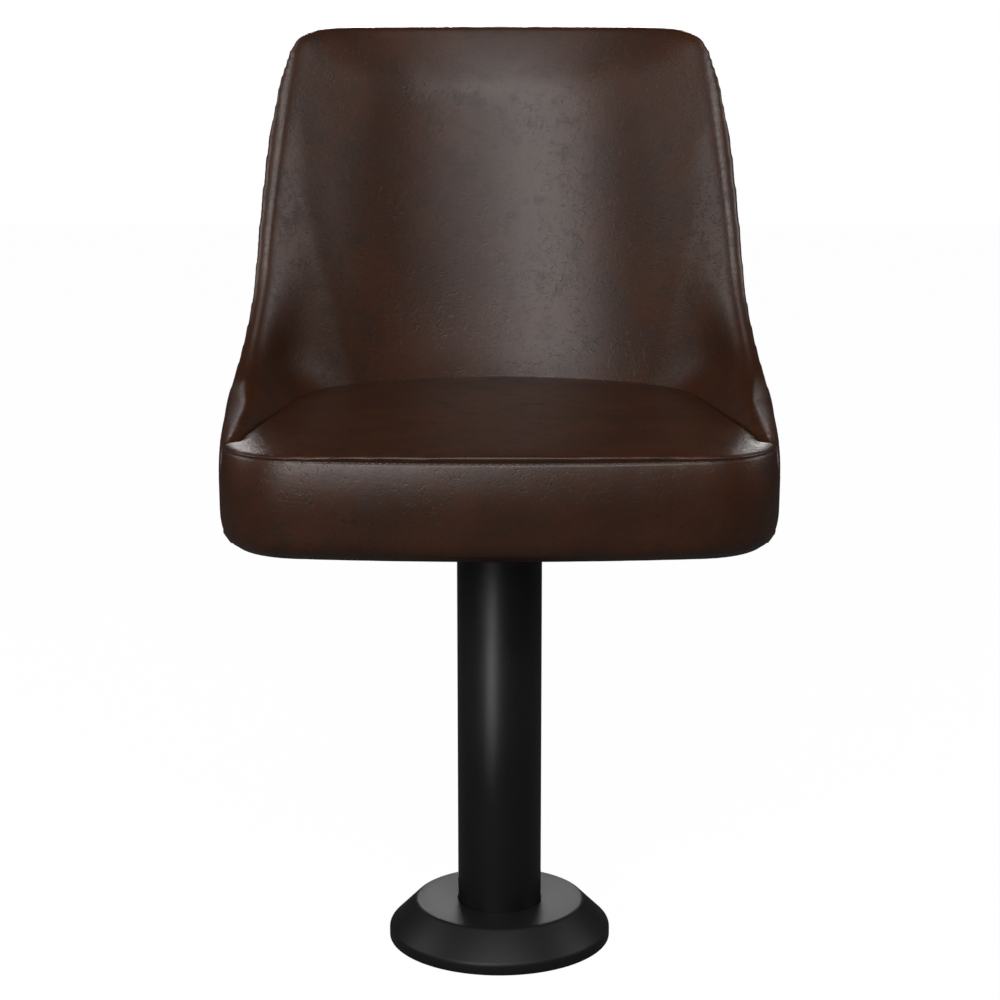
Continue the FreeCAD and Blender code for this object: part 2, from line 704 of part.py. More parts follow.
def inner_edges(share, outset, front):
    """The padded inner face from the left front round the rear to the right front."""
    height = level(share)
    depth = between("back_depth_low", "back_depth_high", share)
    rear = value("seat_rear") + value("back_recline") * share - depth
    scale = 1 - value("back_taper") * share
    big = value("inner_rear_radius") * scale
    small = between("inner_corner_low", "inner_corner_high", share)
    side_y = between("side_level_low", "side_level_high", share)
    side_x = side_width(share, side_y) - side_depth(height)
    tip_y = -value("wing_front")
    tip_x = side_width(share, tip_y) - value("wing_tip")
    length = math.hypot(tip_x - side_x, tip_y - side_y)
    along = ((tip_x - side_x) / length, (tip_y - side_y) / length)
    outward = (-along[1], along[0])
    # The corner's centre is one corner radius inside the wing's line and lies on a circle
    # about the rear arc's centre, so that the corner touches both.
    centre_y = rear - big
    foot_x = side_x - small * outward[0]
    foot_y = side_y - small * outward[1]
    ahead = foot_x * along[0] + (foot_y - centre_y) * along[1]
    apart = foot_x ** 2 + (foot_y - centre_y) ** 2 - (big - small) ** 2
    step = -ahead - math.sqrt(ahead ** 2 - apart)
    corner_x = foot_x + step * along[0]
    corner_y = foot_y + step * along[1]
    start = math.atan2(corner_x, corner_y - centre_y)
    end = math.atan2(outward[0], outward[1])
    corner = Bow(corner_x, corner_y, small, start, end)
    rear_bow = Bow(0, centre_y, big, 0, start)
    line_start = on_bow(corner, end, -outset)
    run = (front - line_start[1]) / along[1]
    line_end = (line_start[0] + run * along[0], front)
    return [
        straight((-line_end[0], front), (-line_start[0], line_start[1]), height),
        arc(corner, end, start, -outset, height, -1),
        arc(rear_bow, -start, start, -outset, height),
        arc(corner, start, end, -outset, height),
        straight(line_start, line_end, height),
    ]


def closed(edges):
    """A closed wire of a chain of edges, joined by a straight edge where its ends are apart."""
    first = edges[0].Vertexes[0].Point
    last = edges[-1].Vertexes[-1].Point
    if first.distanceToPoint(last) > 0.001:
        edges = edges + [Part.LineSegment(last, first).toShape()]
    return Part.Wire(edges)


def strip_wire(front_edges, back_edges):
    """A closed wire between two curves that both run from the left to the right."""
    turned_back = [edge.reversed() for edge in reversed(back_edges)]
    corners = [
        (front_edges[-1].Vertexes[-1].Point, back_edges[-1].Vertexes[-1].Point),
        (back_edges[0].Vertexes[0].Point, front_edges[0].Vertexes[0].Point),
    ]
    links = [Part.LineSegment(*pair).toShape() for pair in corners]
    return Part.Wire(front_edges + [links[0]] + turned_back + [links[1]])


BOWL_STEPS = 4


def wall_shares():
    """Levels of the wall's sections: its foot, steps through the bowl, and above its top."""
    foot, top = level(0), level(1)
    low, high = value("bowl_foot"), value("bowl_rim")
    heights = [low + (high - low) * step / BOWL_STEPS for step in range(BOWL_STEPS + 1)]
    return [0] + [(height - foot) / (top - foot) for height in heights] + [LOFT_SHARE]


def wall(near_edges, far_edges):
    """The wall between two plan curves, ruled up from the seat board to above the back's top."""
    sections = [strip_wire(near_edges(share), far_edges(share)) for share in wall_shares()]
    return Part.makeLoft(sections, True, True)


# Rim of the back: the outline seen from the side, and the one seen from the front.

def rounded(corners, place):
    """A closed face whose corners, given as (a, b, radius), are rounded; place makes them 3-D."""
    edges = []
    previous_end = None
    first_start = None
    for index, (a, b, radius) in enumerate(corners):
        here = place(a, b)
        before = place(*corners[index - 1][:2])
        after = place(*corners[(index + 1) % len(corners)][:2])
        back = (before - here).normalize()
        ahead = (after - here).normalize()
        start = end = here
        if radius > 0:
            half = back.getAngle(ahead) / 2
            start = here + back * (radius / math.tan(half))
            end = here + ahead * (radius / math.tan(half))
            middle_line = (back + ahead).normalize()
            centre = here + middle_line * (radius / math.sin(half))
        if previous_end is not None:
            edges.append(Part.LineSegment(previous_end, start).toShape())
        if radius > 0:
            edges.append(Part.Arc(start, centre - middle_line * radius, end).toShape())
        first_start = start if first_start is None else first_start
        previous_end = end
    edges.append(Part.LineSegment(previous_end, first_start).toShape())
    return Part.Face(Part.Wire(edges))


def rim_solid(inset):
    """All the room behind and under the back's rim, with the rim moved in by an inset."""
    low = value("seat_base") - BEYOND
    high = value("back_height") + BEYOND
    slope = math.radians(value("wing_slope"))
    lean = math.radians(value("rim_lean"))
    nose_y = inset - value("wing_front")
    wing_z = value("wing_top_height") - inset / math.cos(slope)
    rim_y = value("rim_foot_rear") + inset / math.cos(lean)
    nose_z = wing_z + (nose_y - value("wing_top_level")) * math.tan(slope)
    # Height where the wing's edge and the steep edge would cross without the sweep.
    foot = value("rim_foot_height")
    crossing_y = (rim_y - value("wing_top_level") * math.tan(slope) * math.tan(lean)
                  + (wing_z - foot) * math.tan(lean)) / (1 - math.tan(slope) * math.tan(lean))
    crossing_z = wing_z + (crossing_y - value("wing_top_level")) * math.tan(slope)
    high_y = rim_y + (high - foot) * math.tan(lean)
    far_y = value("seat_rear") + value("back_recline") + BEYOND
    side = rounded([
        (nose_y, low, 0),
        (nose_y, nose_z, max(value("wing_nose_radius") - inset, SHARPEST_NOSE)),
        (crossing_y, crossing_z, value("rim_sweep_radius") + inset),
        (high_y, high, 0),
        (far_y, high, 0),
        (far_y, low, 0),
    ], lambda y, z: up(z, -value("seat_width"), y))
    along_x = side.extrude(FreeCAD.Vector(2 * value("seat_width"), 0, 0))
    top_z = value("back_height") - inset
    # Seen from the front the shoulder runs rearwards, so only part of the inset shows there.
    side_x = value("top_half_width") - inset * math.cos(math.radians(value("shoulder_turn")))
    corner = value("top_corner_radius") - inset
    step_z = top_z - corner - value("top_corner_drop")
    wide = value("seat_width")
    front = rounded([
        (-wide, low, 0),
        (wide, low, 0),
        (wide, step_z, 0),
        (side_x, step_z, 0),
        (side_x, top_z, corner),
        (-side_x, top_z, corner),
        (-side_x, step_z, 0),
        (-wide, step_z, 0),
    ], lambda x, z: up(z, x, -value("seat_front") - BEYOND))
    deep = 2 * (far_y + BEYOND)
    return along_x.common(front.extrude(FreeCAD.Vector(0, deep, 0)))


# Seat outline in plan: bowed front, rounded corners, and the shell's own sides and rear.

def front_corner(height):
    """The front arc and the right front corner, as (front bow, corner bow, side turn)."""
    side = outer_bows(0)[3]
    share = (value("seam_height") - height) / (value("seam_height") - value("seat_base"))
    front_y = -value("seat_front") + value("band_lean") * max(share, 0)
    bow = value("seat_front_radius")
    radius = value("seat_corner_radius")
    front_centre = (0, front_y + bow)
    # The corner's centre lies on two circles, about the centres of the side and front arcs.
    gap = math.hypot(side.x, side.y - front_centre[1])
    reach_side = side.radius - radius
    reach_front = bow - radius
    along = (reach_side ** 2 - reach_front ** 2 + gap ** 2) / (2 * gap)
    across = math.sqrt(reach_side ** 2 - along ** 2)
    ux, uy = -side.x / gap, (front_centre[1] - side.y) / gap
    x = side.x + along * ux + across * uy
    y = side.y + along * uy - across * ux
    side_turn = math.atan2(x - side.x, y - side.y)
    front_turn = math.atan2(x, y - front_centre[1])
    corner = Bow(x, y, radius, side_turn, front_turn)
    front = Bow(0, front_centre[1], bow, front_turn, 2 * math.pi - front_turn)
    return front, corner, side_turn


def front_edges(height, inset):
    """Right corner, front and left corner, from the right side to the left side."""
    front, corner, side_turn = front_corner(height)
    return [
        arc(corner, corner.start, corner.end, inset, height),
        arc(front, front.start, front.end, inset, height),
        arc(corner, corner.end, corner.start, inset, height, -1),
    ]


def seat_outline(height, inset):
    """The whole seat in plan at the level of the seat board."""
    side_turn = front_corner(height)[2]
    side = outer_bows(0)[3]
    front_y = on_bow(side, side_turn, inset)[1]
    edges = outer_edges(0, inset, front_y)
    lift = height - level(0)
    for edge in edges:
        edge.translate(up(lift))
    return closed(edges + front_edges(height, inset))


def slab(bottom, thickness, inset):
    """A flat piece with the seat's outline."""
    outline = Part.Face(seat_outline(bottom, inset))
    return outline.extrude(up(thickness))


# Cushion: crowned top panel, swelling band, and the foam inside them.

TURN_STEPS = 4
BAND_STEPS = 6


def band_levels():
    """Heights up the band, each with how far it lies inside the back's outline."""
    foot = value("seat_base")
    turned_up = foot + value("band_round")
    rise = value("seam_height") - turned_up
    for step in range(TURN_STEPS):
        angle = math.pi / 2 * step / TURN_STEPS
        yield (foot + value("band_round") * (1 - math.cos(angle)),
               value("band_set") + value("band_tuck") * (1 - math.sin(angle)))
    for step in range(BAND_STEPS + 1):
        share = step / BAND_STEPS
        swell = value("band_bulge") * math.sin(math.pi * share)
        yield turned_up + rise * share, value("band_set") - swell
    yield value("seam_height") + BEYOND / 4, value("band_set")


def front_block(inset):
    """The cushion's full-width front: tucked under at its foot and swollen half-way up."""
    side = outer_bows(0)[3]
    far = value("seat_rear") + BEYOND
    sections = []
    for height, drawn_in in band_levels():
        depth = inset + drawn_in
        side_turn = front_corner(height)[2]
        right = arc(side, math.pi / 2, side_turn, depth, height)
        left = arc(side, side_turn, math.pi / 2, depth, height, -1)
        x, y = on_bow(side, math.pi / 2, depth)
        flanks = [straight((-x, y), (-x, far), height),
                  straight((-x, far), (x, far), height),
                  straight((x, far), (x, y), height)]
        sections.append(Part.Wire([right] + front_edges(height, depth) + [left] + flanks))
    return Part.makeLoft(sections, True, True)


def box(x_half, y_low, y_high, z_low, z_high):
    """A box that is symmetrical about the chair's middle."""
    corner = up(z_low, -x_half, y_low)
    return Part.makeBox(2 * x_half, y_high - y_low, z_high - z_low, corner)


def cushion_block(inset):
    """The cushion without its dome: full width before the wings, fitted between them behind."""
    play = value("cushion_play") + inset
    front = -value("wing_front") - play
    low = value("board_top")
    sections = [closed(inner_edges(share, -play, front - BEYOND / 4)) for share in wall_shares()]
    room = Part.makeLoft(sections, True, True)
    half = value("seat_width")
    behind = room.common(box(half, front - 1, half, low, value("seam_height") + BEYOND / 4))
    before = box(half, -half, front, value("seat_base"), value("seam_height") + BEYOND / 4)
    return front_block(inset).common(behind.fuse(before).removeSplitter())


def dome(inset):
    """All the room under the cushion's domed top."""
    middle = (value("seat_rear") - value("back_depth_low") - value("seat_front")) / 2
    radius = value("crown_radius")
    centre = up(value("cushion_top") - radius, 0, middle)
    ball = Part.makeSphere(radius - inset, centre)
    half = value("seat_width")
    return ball.common(box(half, -half, half, value("seat_base") - 1, value("cushion_top") + 1))


# Seat board, its cloth and staples.

SKIN = value("skin")
SHELL = value("shell_thickness")


def board_blank(play):
    """The board's plan: full width in the shell, drawn in behind the band before the wings."""
    bottom, thickness = value("seat_base"), value("board_thickness")
    whole = slab(bottom, thickness, SKIN + SHELL + play)
    covered = value("band_set") + value("band_tuck") + SKIN
    narrow = slab(bottom, thickness, covered + value("board_front_foam") + play)
    half = value("seat_width")
    behind = box(half, -value("wing_front"), half, bottom, value("board_top"))
    return narrow.fuse(whole.common(behind)).removeSplitter()


def staples():
    """Wire staples round the cloth, with their legs up into the board."""
    outline = seat_outline(value("seat_base"), value("dust_cloth_inset") + value("staple_edge"))
    count = int(value("staple_count"))
    steps = outline.discretize(Number=4 * count + 1)
    wire = value("staple_wire")
    width = value("staple_width")
    crown_bottom = value("seat_base") - value("dust_cloth") - wire
    leg_length = wire + value("dust_cloth") + value("staple_leg")
    solids = []
    for index in range(count):
        here, ahead = steps[4 * index + 2], steps[4 * index + 3]
        crown = Part.makeBox(width, wire, wire, up(0, -width / 2, -wire / 2))
        near_leg = Part.makeBox(wire, wire, leg_length, up(0, -width / 2, -wire / 2))
        far_leg = Part.makeBox(wire, wire, leg_length, up(0, width / 2 - wire, -wire / 2))
        staple = crown.fuse([near_leg, far_leg]).removeSplitter()
        heading = math.degrees(math.atan2(ahead.y - here.y, ahead.x - here.x))
        staple.Placement = FreeCAD.Placement(up(crown_bottom, here.x, here.y),
                                             FreeCAD.Rotation(up(1), heading))
        solids.append(staple)
    return Part.makeCompound(solids)


def back_screws():
    """Countersunk screws in through the shell into the edge of the board."""
    count = int(value("screw_count"))
    reach = math.radians(value("screw_reach"))
    height = (value("seat_base") + value("board_top")) / 2
    share = (height - level(0)) / (level(1) - level(0))
    bows = outer_bows(share)
    solids = []
    for index in range(count):
        turn = reach * (2 * index / (count - 1) - 1)
        bow = next(item for item in bows if item.end is None or abs(turn) <= item.end)
        side = -1 if turn < 0 else 1
        x, y = on_bow(bow, abs(turn), value("skin") + value("screw_recess"))
        spot = up(height, side * x, y)
        inward = FreeCAD.Vector(-side * math.sin(abs(turn)), -math.cos(turn), 0)
        shank_radius = value("screw_diameter") / 2
        shank = Part.makeCylinder(shank_radius, value("screw_length"), spot, inward)
        head = Part.makeCone(value("screw_head") / 2, shank_radius,
                             value("screw_head_height"), spot, inward)
        solids.append(shank.fuse(head).removeSplitter())
    return Part.makeCompound(solids)


def seat_board(staple_solids, screw_solids):
    """Plywood board, let in for the tee nuts, screws and staples."""
    board = board_blank(value("board_play"))
    radius = value("tee_nut_barrel") / 2
    flange = value("tee_nut_flange") / 2
    spacing = value("plate_bolt_spacing") / 2
    for x, y in ((1, 1), (-1, 1), (-1, -1), (1, -1)):
        low = up(value("seat_base"), x * spacing, y * spacing)
        high = up(value("tee_nut_flange_bottom"), x * spacing, y * spacing)
        board = board.cut(Part.makeCylinder(radius, value("board_thickness"), low))
        board = board.cut(Part.makeCylinder(flange, value("tee_nut_flange_thickness"), high))
    return board.cut([staple_solids, screw_solids])


def dust_cloth(staple_solids):
    """Thin cloth between the board and the steel plate, with holes for the seat bolts."""
    cloth = slab(value("seat_base") - value("dust_cloth"), value("dust_cloth"),
                 value("dust_cloth_inset"))
    radius = value("bolt_diameter") / 2 + value("bolt_hole_play")
    spacing = value("plate_bolt_spacing") / 2
    for x, y in ((1, 1), (-1, 1), (-1, -1), (1, -1)):
        foot = up(value("plate_top"), x * spacing, y * spacing)
        cloth = cloth.cut(Part.makeCylinder(radius, value("dust_cloth"), foot))
    return cloth.cut(staple_solids)


# Padded back: bent plywood shell, foam, inner and outer covers, and the roll round the edge.

FRONT = -value("wing_front") - BEYOND / 4


def outer_skin(near, far):
    """The wall between two depths measured from the shell's outside."""
    return wall(lambda share: outer_edges(share, near, FRONT),
                lambda share: outer_edges(share, far, FRONT))


def padding(skin):
    """The whole padded back, or what is left of it inside its covers."""
    return wall(lambda share: outer_edges(share, skin, FRONT),
                lambda share: inner_edges(share, skin, FRONT))


def inner_skin():
    """The cover of the padded inner face."""
    return wall(lambda share: inner_edges(share, SKIN, FRONT),
                lambda share: inner_edges(share, 0, FRONT))


def single(shape):
    """The one solid that a boolean leaves, without its wrapping."""
    solids = sorted(shape.Solids, key=lambda solid: solid.Volume)
    return solids[-1]


whole_rim = rim_solid(0)
inner_rim = rim_solid(value("edge_roll"))
shell_rim = rim_solid(value("shell_edge"))
half_room = value("seat_width")
board_room = board_blank(0)
above_board = box(half_room, -half_room, half_room, value("board_top"), value("back_height"))
shell_front = value("shell_wing_edge") - value("wing_front")
behind_wings = box(half_room, shell_front, half_room, 0, value("back_height"))
staple_solids = staples()
screw_solids = back_screws()

shell = outer_skin(SKIN, SKIN + SHELL).common([shell_rim]).common(behind_wings)
under_board = box(half_room, shell_front, half_room, 0, value("board_top"))
back_foam = padding(SKIN).common(inner_rim).cut([shell, board_room, under_board])
cushion = cushion_block(0)
cushion_inside = cushion_block(SKIN)
under_top = dome(SKIN)

parts += [
    shaped("seat_board", single(seat_board(staple_solids, screw_solids))),
    shaped("seat_foam", single(cushion_inside.common(under_top).cut(board_room))),
    shaped("seat_band_cover", single(cushion.common(under_top).cut([cushion_inside, board_room]))),
    shaped("seat_top_cover", single(cushion.common(dome(0)).cut(under_top))),
    shaped("dust_cloth", single(dust_cloth(staple_solids))),
    shaped("cloth_staples", staple_solids),
    shaped("back_screws", screw_solids),
    shaped("back_shell", single(shell.cut(screw_solids))),
    shaped("back_foam", single(back_foam)),
    shaped("back_inner_cover", single(inner_skin().common(inner_rim).common(above_board))),
    shaped("back_outer_cover", single(outer_skin(0, SKIN).common(inner_rim))),
    shaped("back_edge_roll", single(padding(0).common(whole_rim).cut([inner_rim, board_room]))),
]


# Write one file per sub-part.

doc.recompute()
os.makedirs("parts", exist_ok=True)
for item in doc.Objects:
    if "Invalid" in item.State or "Error" in item.State:
        raise SystemExit(f"{item.Label} is not up to date: {item.State}")
for part in parts:
    if part.Shape.isNull() or not part.Shape.isValid():
        raise SystemExit(f"{part.Label} has no valid shape")
    part.Shape.exportStep(f"parts/{part.Label}.step")
    print(part.Label, len(part.Shape.Solids), round(part.Shape.Volume))
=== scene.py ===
import math

import bmesh
import bpy
import numpy as np
from mathutils import Matrix, Vector, kdtree
from mathutils.bvhtree import BVHTree


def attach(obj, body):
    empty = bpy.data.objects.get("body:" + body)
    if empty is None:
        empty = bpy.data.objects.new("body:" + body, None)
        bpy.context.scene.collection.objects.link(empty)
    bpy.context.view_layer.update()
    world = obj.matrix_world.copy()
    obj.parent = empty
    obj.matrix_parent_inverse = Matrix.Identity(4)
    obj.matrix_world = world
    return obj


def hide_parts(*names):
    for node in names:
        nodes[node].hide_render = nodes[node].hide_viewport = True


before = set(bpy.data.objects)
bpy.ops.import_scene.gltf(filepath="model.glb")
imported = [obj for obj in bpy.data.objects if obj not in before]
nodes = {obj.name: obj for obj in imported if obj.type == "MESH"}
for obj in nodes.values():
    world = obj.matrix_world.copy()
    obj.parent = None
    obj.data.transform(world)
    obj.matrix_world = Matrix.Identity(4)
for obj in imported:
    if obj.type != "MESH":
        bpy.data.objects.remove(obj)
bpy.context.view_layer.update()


# The studio: a white room with soft lamps, and a camera a little above the seat.
# The camera sees the floor and the backdrop as white, with the chair's faint shadow on them.

def feed(tree, socket, source):
    """Gives an input a number, a colour or another node's output."""
    if isinstance(source, bpy.types.NodeSocket):
        tree.links.new(source, socket)
    else:
        socket.default_value = source


def shader(tree, kind, inputs=None, **settings):
    """A shader node with its settings and what its inputs are fed with."""
    made = tree.nodes.new(kind)
    for name, setting in settings.items():
        setattr(made, name, setting)
    for name, source in (inputs or {}).items():
        feed(tree, made.inputs[name], source)
    return made


def mixed(tree, share, first, second, blend="MIX"):
    """The colour between two others."""
    made = shader(tree, "ShaderNodeMix", data_type="RGBA", blend_type=blend)
    for number, source in ((0, share), (6, first), (7, second)):
        feed(tree, made.inputs[number], source)
    return made.outputs[2]


def sums(tree, operation, first, second=0.0, third=0.0):
    """A number worked out from up to three others."""
    made = shader(tree, "ShaderNodeMath", operation=operation)
    for socket, source in zip(made.inputs, (first, second, third)):
        feed(tree, socket, source)
    return made.outputs[0]


def spread(tree, source, low, high, to_low=0.0, to_high=1.0):
    """A number stretched smoothly from one range to another, and held at its ends."""
    made = shader(tree, "ShaderNodeMapRange", {"Value": source, "From Min": low, "From Max": high,
                                               "To Min": to_low, "To Max": to_high},
                  interpolation_type="SMOOTHSTEP")
    return made.outputs["Result"]


def fresh_material(name):
    """An empty material with its output node, as (material, tree, output)."""
    made = bpy.data.materials.new(name)
    made.use_nodes = True
    made.node_tree.nodes.clear()
    return made, made.node_tree, made.node_tree.nodes.new("ShaderNodeOutputMaterial")


def studio_wall(name, shadow_share):
    """White to the camera, with a share of the real light and shadow left in."""
    made, tree, output = fresh_material(name)
    rays = shader(tree, "ShaderNodeLightPath")
    share = sums(tree, "MULTIPLY", rays.outputs["Is Camera Ray"], 1.0 - shadow_share)
    paint = shader(tree, "ShaderNodeBsdfDiffuse", {"Color": (0.15, 0.15, 0.15, 1.0)})
    white = shader(tree, "ShaderNodeEmission", {"Color": (1.0, 1.0, 1.0, 1.0), "Strength": 1.12})
    blend = shader(tree, "ShaderNodeMixShader",
                   {0: share, 1: paint.outputs[0], 2: white.outputs[0]})
    tree.links.new(blend.outputs[0], output.inputs["Surface"])
    return made


floor_half_width = 7.0
floor_drop = 0.0006
room = bmesh.new()
bmesh.ops.create_grid(room, x_segments=1, y_segments=1, size=floor_half_width,
                      matrix=Matrix.Translation((0.0, 0.0, -floor_drop)))
room_mesh = bpy.data.meshes.new("studio_floor")
room.to_mesh(room_mesh)
room.free()
studio_floor = bpy.data.objects.new("studio_floor", room_mesh)
bpy.context.scene.collection.objects.link(studio_floor)
studio_floor.data.materials.append(studio_wall("white_floor", 0.12))

sky = bpy.data.worlds.new("white_room")
sky.use_nodes = True
sky.node_tree.nodes.clear()
sky_rays = shader(sky.node_tree, "ShaderNodeLightPath")
sky_seen = sums(sky.node_tree, "MAXIMUM", sky_rays.outputs["Is Camera Ray"],
                sky_rays.outputs["Is Transmission Ray"])
sky_on_chair, sky_in_view = 0.03, 1.0
sky_strength = spread(sky.node_tree, sky_seen, 0.0, 1.0, sky_on_chair, sky_in_view)
sky_light = shader(sky.node_tree, "ShaderNodeBackground", {"Color": (1.0, 1.0, 1.0, 1.0),
                                                           "Strength": sky_strength})
sky_output = sky.node_tree.nodes.new("ShaderNodeOutputWorld")
sky.node_tree.links.new(sky_light.outputs[0], sky_output.inputs["Surface"])
bpy.context.scene.world = sky


def soft_lamp(name, place, aim, size, power, beam=180.0):
    """A soft box that points at a place on the chair, with the angle of its beam."""
    lamp = bpy.data.lights.new(name, "AREA")
    lamp.shape = "RECTANGLE"
    lamp.size, lamp.size_y = size
    lamp.energy = power
    lamp.spread = math.radians(beam)
    held = bpy.data.objects.new(name, lamp)
    held.location = place
    held.rotation_euler = (Vector(aim) - Vector(place)).to_track_quat("-Z", "Y").to_euler()
    held.visible_camera = False
    bpy.context.scene.collection.objects.link(held)


soft_lamp("key_lamp", (-0.95, -2.3, 1.25), (0.0, 0.1, 0.6), (1.6, 0.9), 26.0)
soft_lamp("front_lamp", (0.0, -2.2, 2.2), (0.0, 0.0, 0.6), (2.8, 0.5), 44.0)
soft_lamp("right_lamp", (2.1, 0.1, 1.35), (0.0, 0.1, 0.6), (0.9, 0.7), 11.0)
soft_lamp("left_lamp", (-2.1, 0.1, 1.35), (0.0, 0.1, 0.6), (0.9, 0.7), 10.0)
soft_lamp("top_lamp", (0.0, -0.5, 2.6), (0.0, 0.0, 0.5), (1.5, 1.5), 10.0)
soft_lamp("back_lamp", (0.0, 2.6, 1.0), (0.0, 0.0, 0.1), (1.8, 1.0), 3.0)
soft_lamp("rear_lamp", (0.0, 2.4, 1.35), (0.0, 0.3, 0.72), (1.0, 0.6), 1.5, 24.0)
soft_lamp("column_lamp", (-0.33, -0.85, 0.06), (0.0, 0.0, 0.27), (0.12, 0.12), 0.015, 10.0)

lens = bpy.data.cameras.new("camera")
lens.sensor_width = 36.0
lens.lens = 85.5
lens.shift_x = 0.0005
lens.shift_y = 0.0635
camera = bpy.data.objects.new("camera", lens)
camera.location = (0.0, -2.066, 0.848)
camera.rotation_euler = (math.radians(76.5), 0.0, 0.0)
bpy.context.scene.collection.objects.link(camera)
bpy.context.scene.camera = camera
bpy.context.scene.view_settings.view_transform = "Standard"


# The pedestal: a steel floor disc with a round tube welded on it.
# It is welded first and then coated in black powder, which leaves a faint orange peel.

def effect_group(name, inputs, outputs):
    """An empty node group with named sockets, as (group, its input node, its output node)."""
    group = bpy.data.node_groups.new(name, "ShaderNodeTree")
    for label, kind, default in inputs:
        socket = group.interface.new_socket(label, in_out="INPUT", socket_type=kind)
        socket.default_value = default
    for label, kind in outputs:
        group.interface.new_socket(label, in_out="OUTPUT", socket_type=kind)
    return group, group.nodes.new("NodeGroupInput"), group.nodes.new("NodeGroupOutput")


def noise(tree, where, scale, detail=2.0, roughness=0.5, distortion=0.0):
    """A cloudy pattern; the scale is in waves per metre."""
    return shader(tree, "ShaderNodeTexNoise", {
        "Vector": where, "Scale": scale, "Detail": detail, "Roughness": roughness,
        "Distortion": distortion}).outputs["Fac"]


NUMBER, TINT, PLACE = "NodeSocketFloat", "NodeSocketColor", "NodeSocketVector"

powder_skin, given, made = effect_group(
    "powder_skin",
    [("Place", PLACE, (0.0, 0.0, 0.0)), ("Paint", TINT, (0.01, 0.01, 0.01, 1.0)),
     ("Dust", TINT, (0.05, 0.05, 0.05, 1.0)), ("Dust Share", NUMBER, 0.15),
     ("Gloss", NUMBER, 0.4)],
    [("Color", TINT), ("Roughness", NUMBER), ("Height", NUMBER)])
peel = noise(powder_skin, given.outputs["Place"], 620.0, 1.0)
cloud = noise(powder_skin, given.outputs["Place"], 9.0, 3.0)
specks = spread(powder_skin, noise(powder_skin, given.outputs["Place"], 900.0, 2.0), 0.62, 0.75)
dusted = sums(powder_skin, "MULTIPLY", sums(powder_skin, "MULTIPLY_ADD", specks, 0.6, cloud),
              given.outputs["Dust Share"])
powder_skin.links.new(mixed(powder_skin, dusted, given.outputs["Paint"], given.outputs["Dust"]),
                      made.inputs["Color"])
powder_skin.links.new(sums(powder_skin, "MULTIPLY_ADD", cloud, 0.1, given.outputs["Gloss"]),
                      made.inputs["Roughness"])
powder_skin.links.new(peel, made.inputs["Height"])


def finished(name, effect, values, bump, coat=0.0, metallic=0.0, specular=0.5):
    """A material whose colour, roughness and surface come from one effect group."""
    material, tree, output = fresh_material(name)
    place = shader(tree, "ShaderNodeTexCoord").outputs["Object"]
    group = tree.nodes.new("ShaderNodeGroup")
    group.node_tree = effect
    tree.links.new(place, group.inputs["Place"])
    for label, setting in values.items():
        group.inputs[label].default_value = setting
    strength, distance = bump
    relief = shader(tree, "ShaderNodeBump", {"Height": group.outputs["Height"],
                                             "Strength": strength, "Distance": distance})
    surface = shader(tree, "ShaderNodeBsdfPrincipled", {
        "Base Color": group.outputs["Color"], "Roughness": group.outputs["Roughness"],
        "Normal": relief.outputs["Normal"], "Metallic": metallic, "Coat Weight": coat,
        "Coat Roughness": 0.3, "Specular IOR Level": specular})
    tree.links.new(surface.outputs[0], output.inputs["Surface"])
    return material


def dress(material, *names):
    """Gives CAD nodes their finish."""
    for name in names:
        nodes[name].material_slots[0].material = material


column_powder = finished("column_powder", powder_skin, {
    "Paint": (0.003, 0.003, 0.0032, 1.0), "Dust": (0.02, 0.02, 0.02, 1.0),
    "Dust Share": 0.04, "Gloss": 0.38}, (0.1, 0.0002), specular=0.4)
dress(column_powder, "floor_flange", "column_tube", "column_weld")


# The swivel: a turned housing with two bronze bushes, a caged ball bearing on top of it,
# and the spindle with its washer and nut. Turning leaves fine rings round the axis.

turned_rings, given, made = effect_group(
    "turned_rings",
    [("Place", PLACE, (0.0, 0.0, 0.0)), ("Metal", TINT, (0.5, 0.5, 0.5, 1.0)),
     ("Grease", TINT, (0.1, 0.07, 0.03, 1.0)), ("Grease Share", NUMBER, 0.3),
     ("Gloss", NUMBER, 0.25)],
    [("Color", TINT), ("Roughness", NUMBER), ("Height", NUMBER)])
parts_of_place = shader(turned_rings, "ShaderNodeSeparateXYZ", {0: given.outputs["Place"]})
flat_place = shader(turned_rings, "ShaderNodeCombineXYZ", {0: parts_of_place.outputs[0],
                                                           1: parts_of_place.outputs[1]})
reach = shader(turned_rings, "ShaderNodeVectorMath", {0: flat_place.outputs[0]},
               operation="LENGTH").outputs["Value"]
ring_place = shader(turned_rings, "ShaderNodeCombineXYZ", {0: reach, 1: parts_of_place.outputs[2]})
rings = noise(turned_rings, ring_place.outputs[0], 2600.0, 1.0)
smears = spread(turned_rings, noise(turned_rings, given.outputs["Place"], 60.0, 4.0), 0.48, 0.7)
greased = sums(turned_rings, "MULTIPLY", smears, given.outputs["Grease Share"])
turned_rings.links.new(mixed(turned_rings, greased, given.outputs["Metal"],
                             given.outputs["Grease"]), made.inputs["Color"])
turned_rings.links.new(sums(turned_rings, "MULTIPLY_ADD", rings, 0.15, given.outputs["Gloss"]),
                       made.inputs["Roughness"])
turned_rings.links.new(rings, made.inputs["Height"])

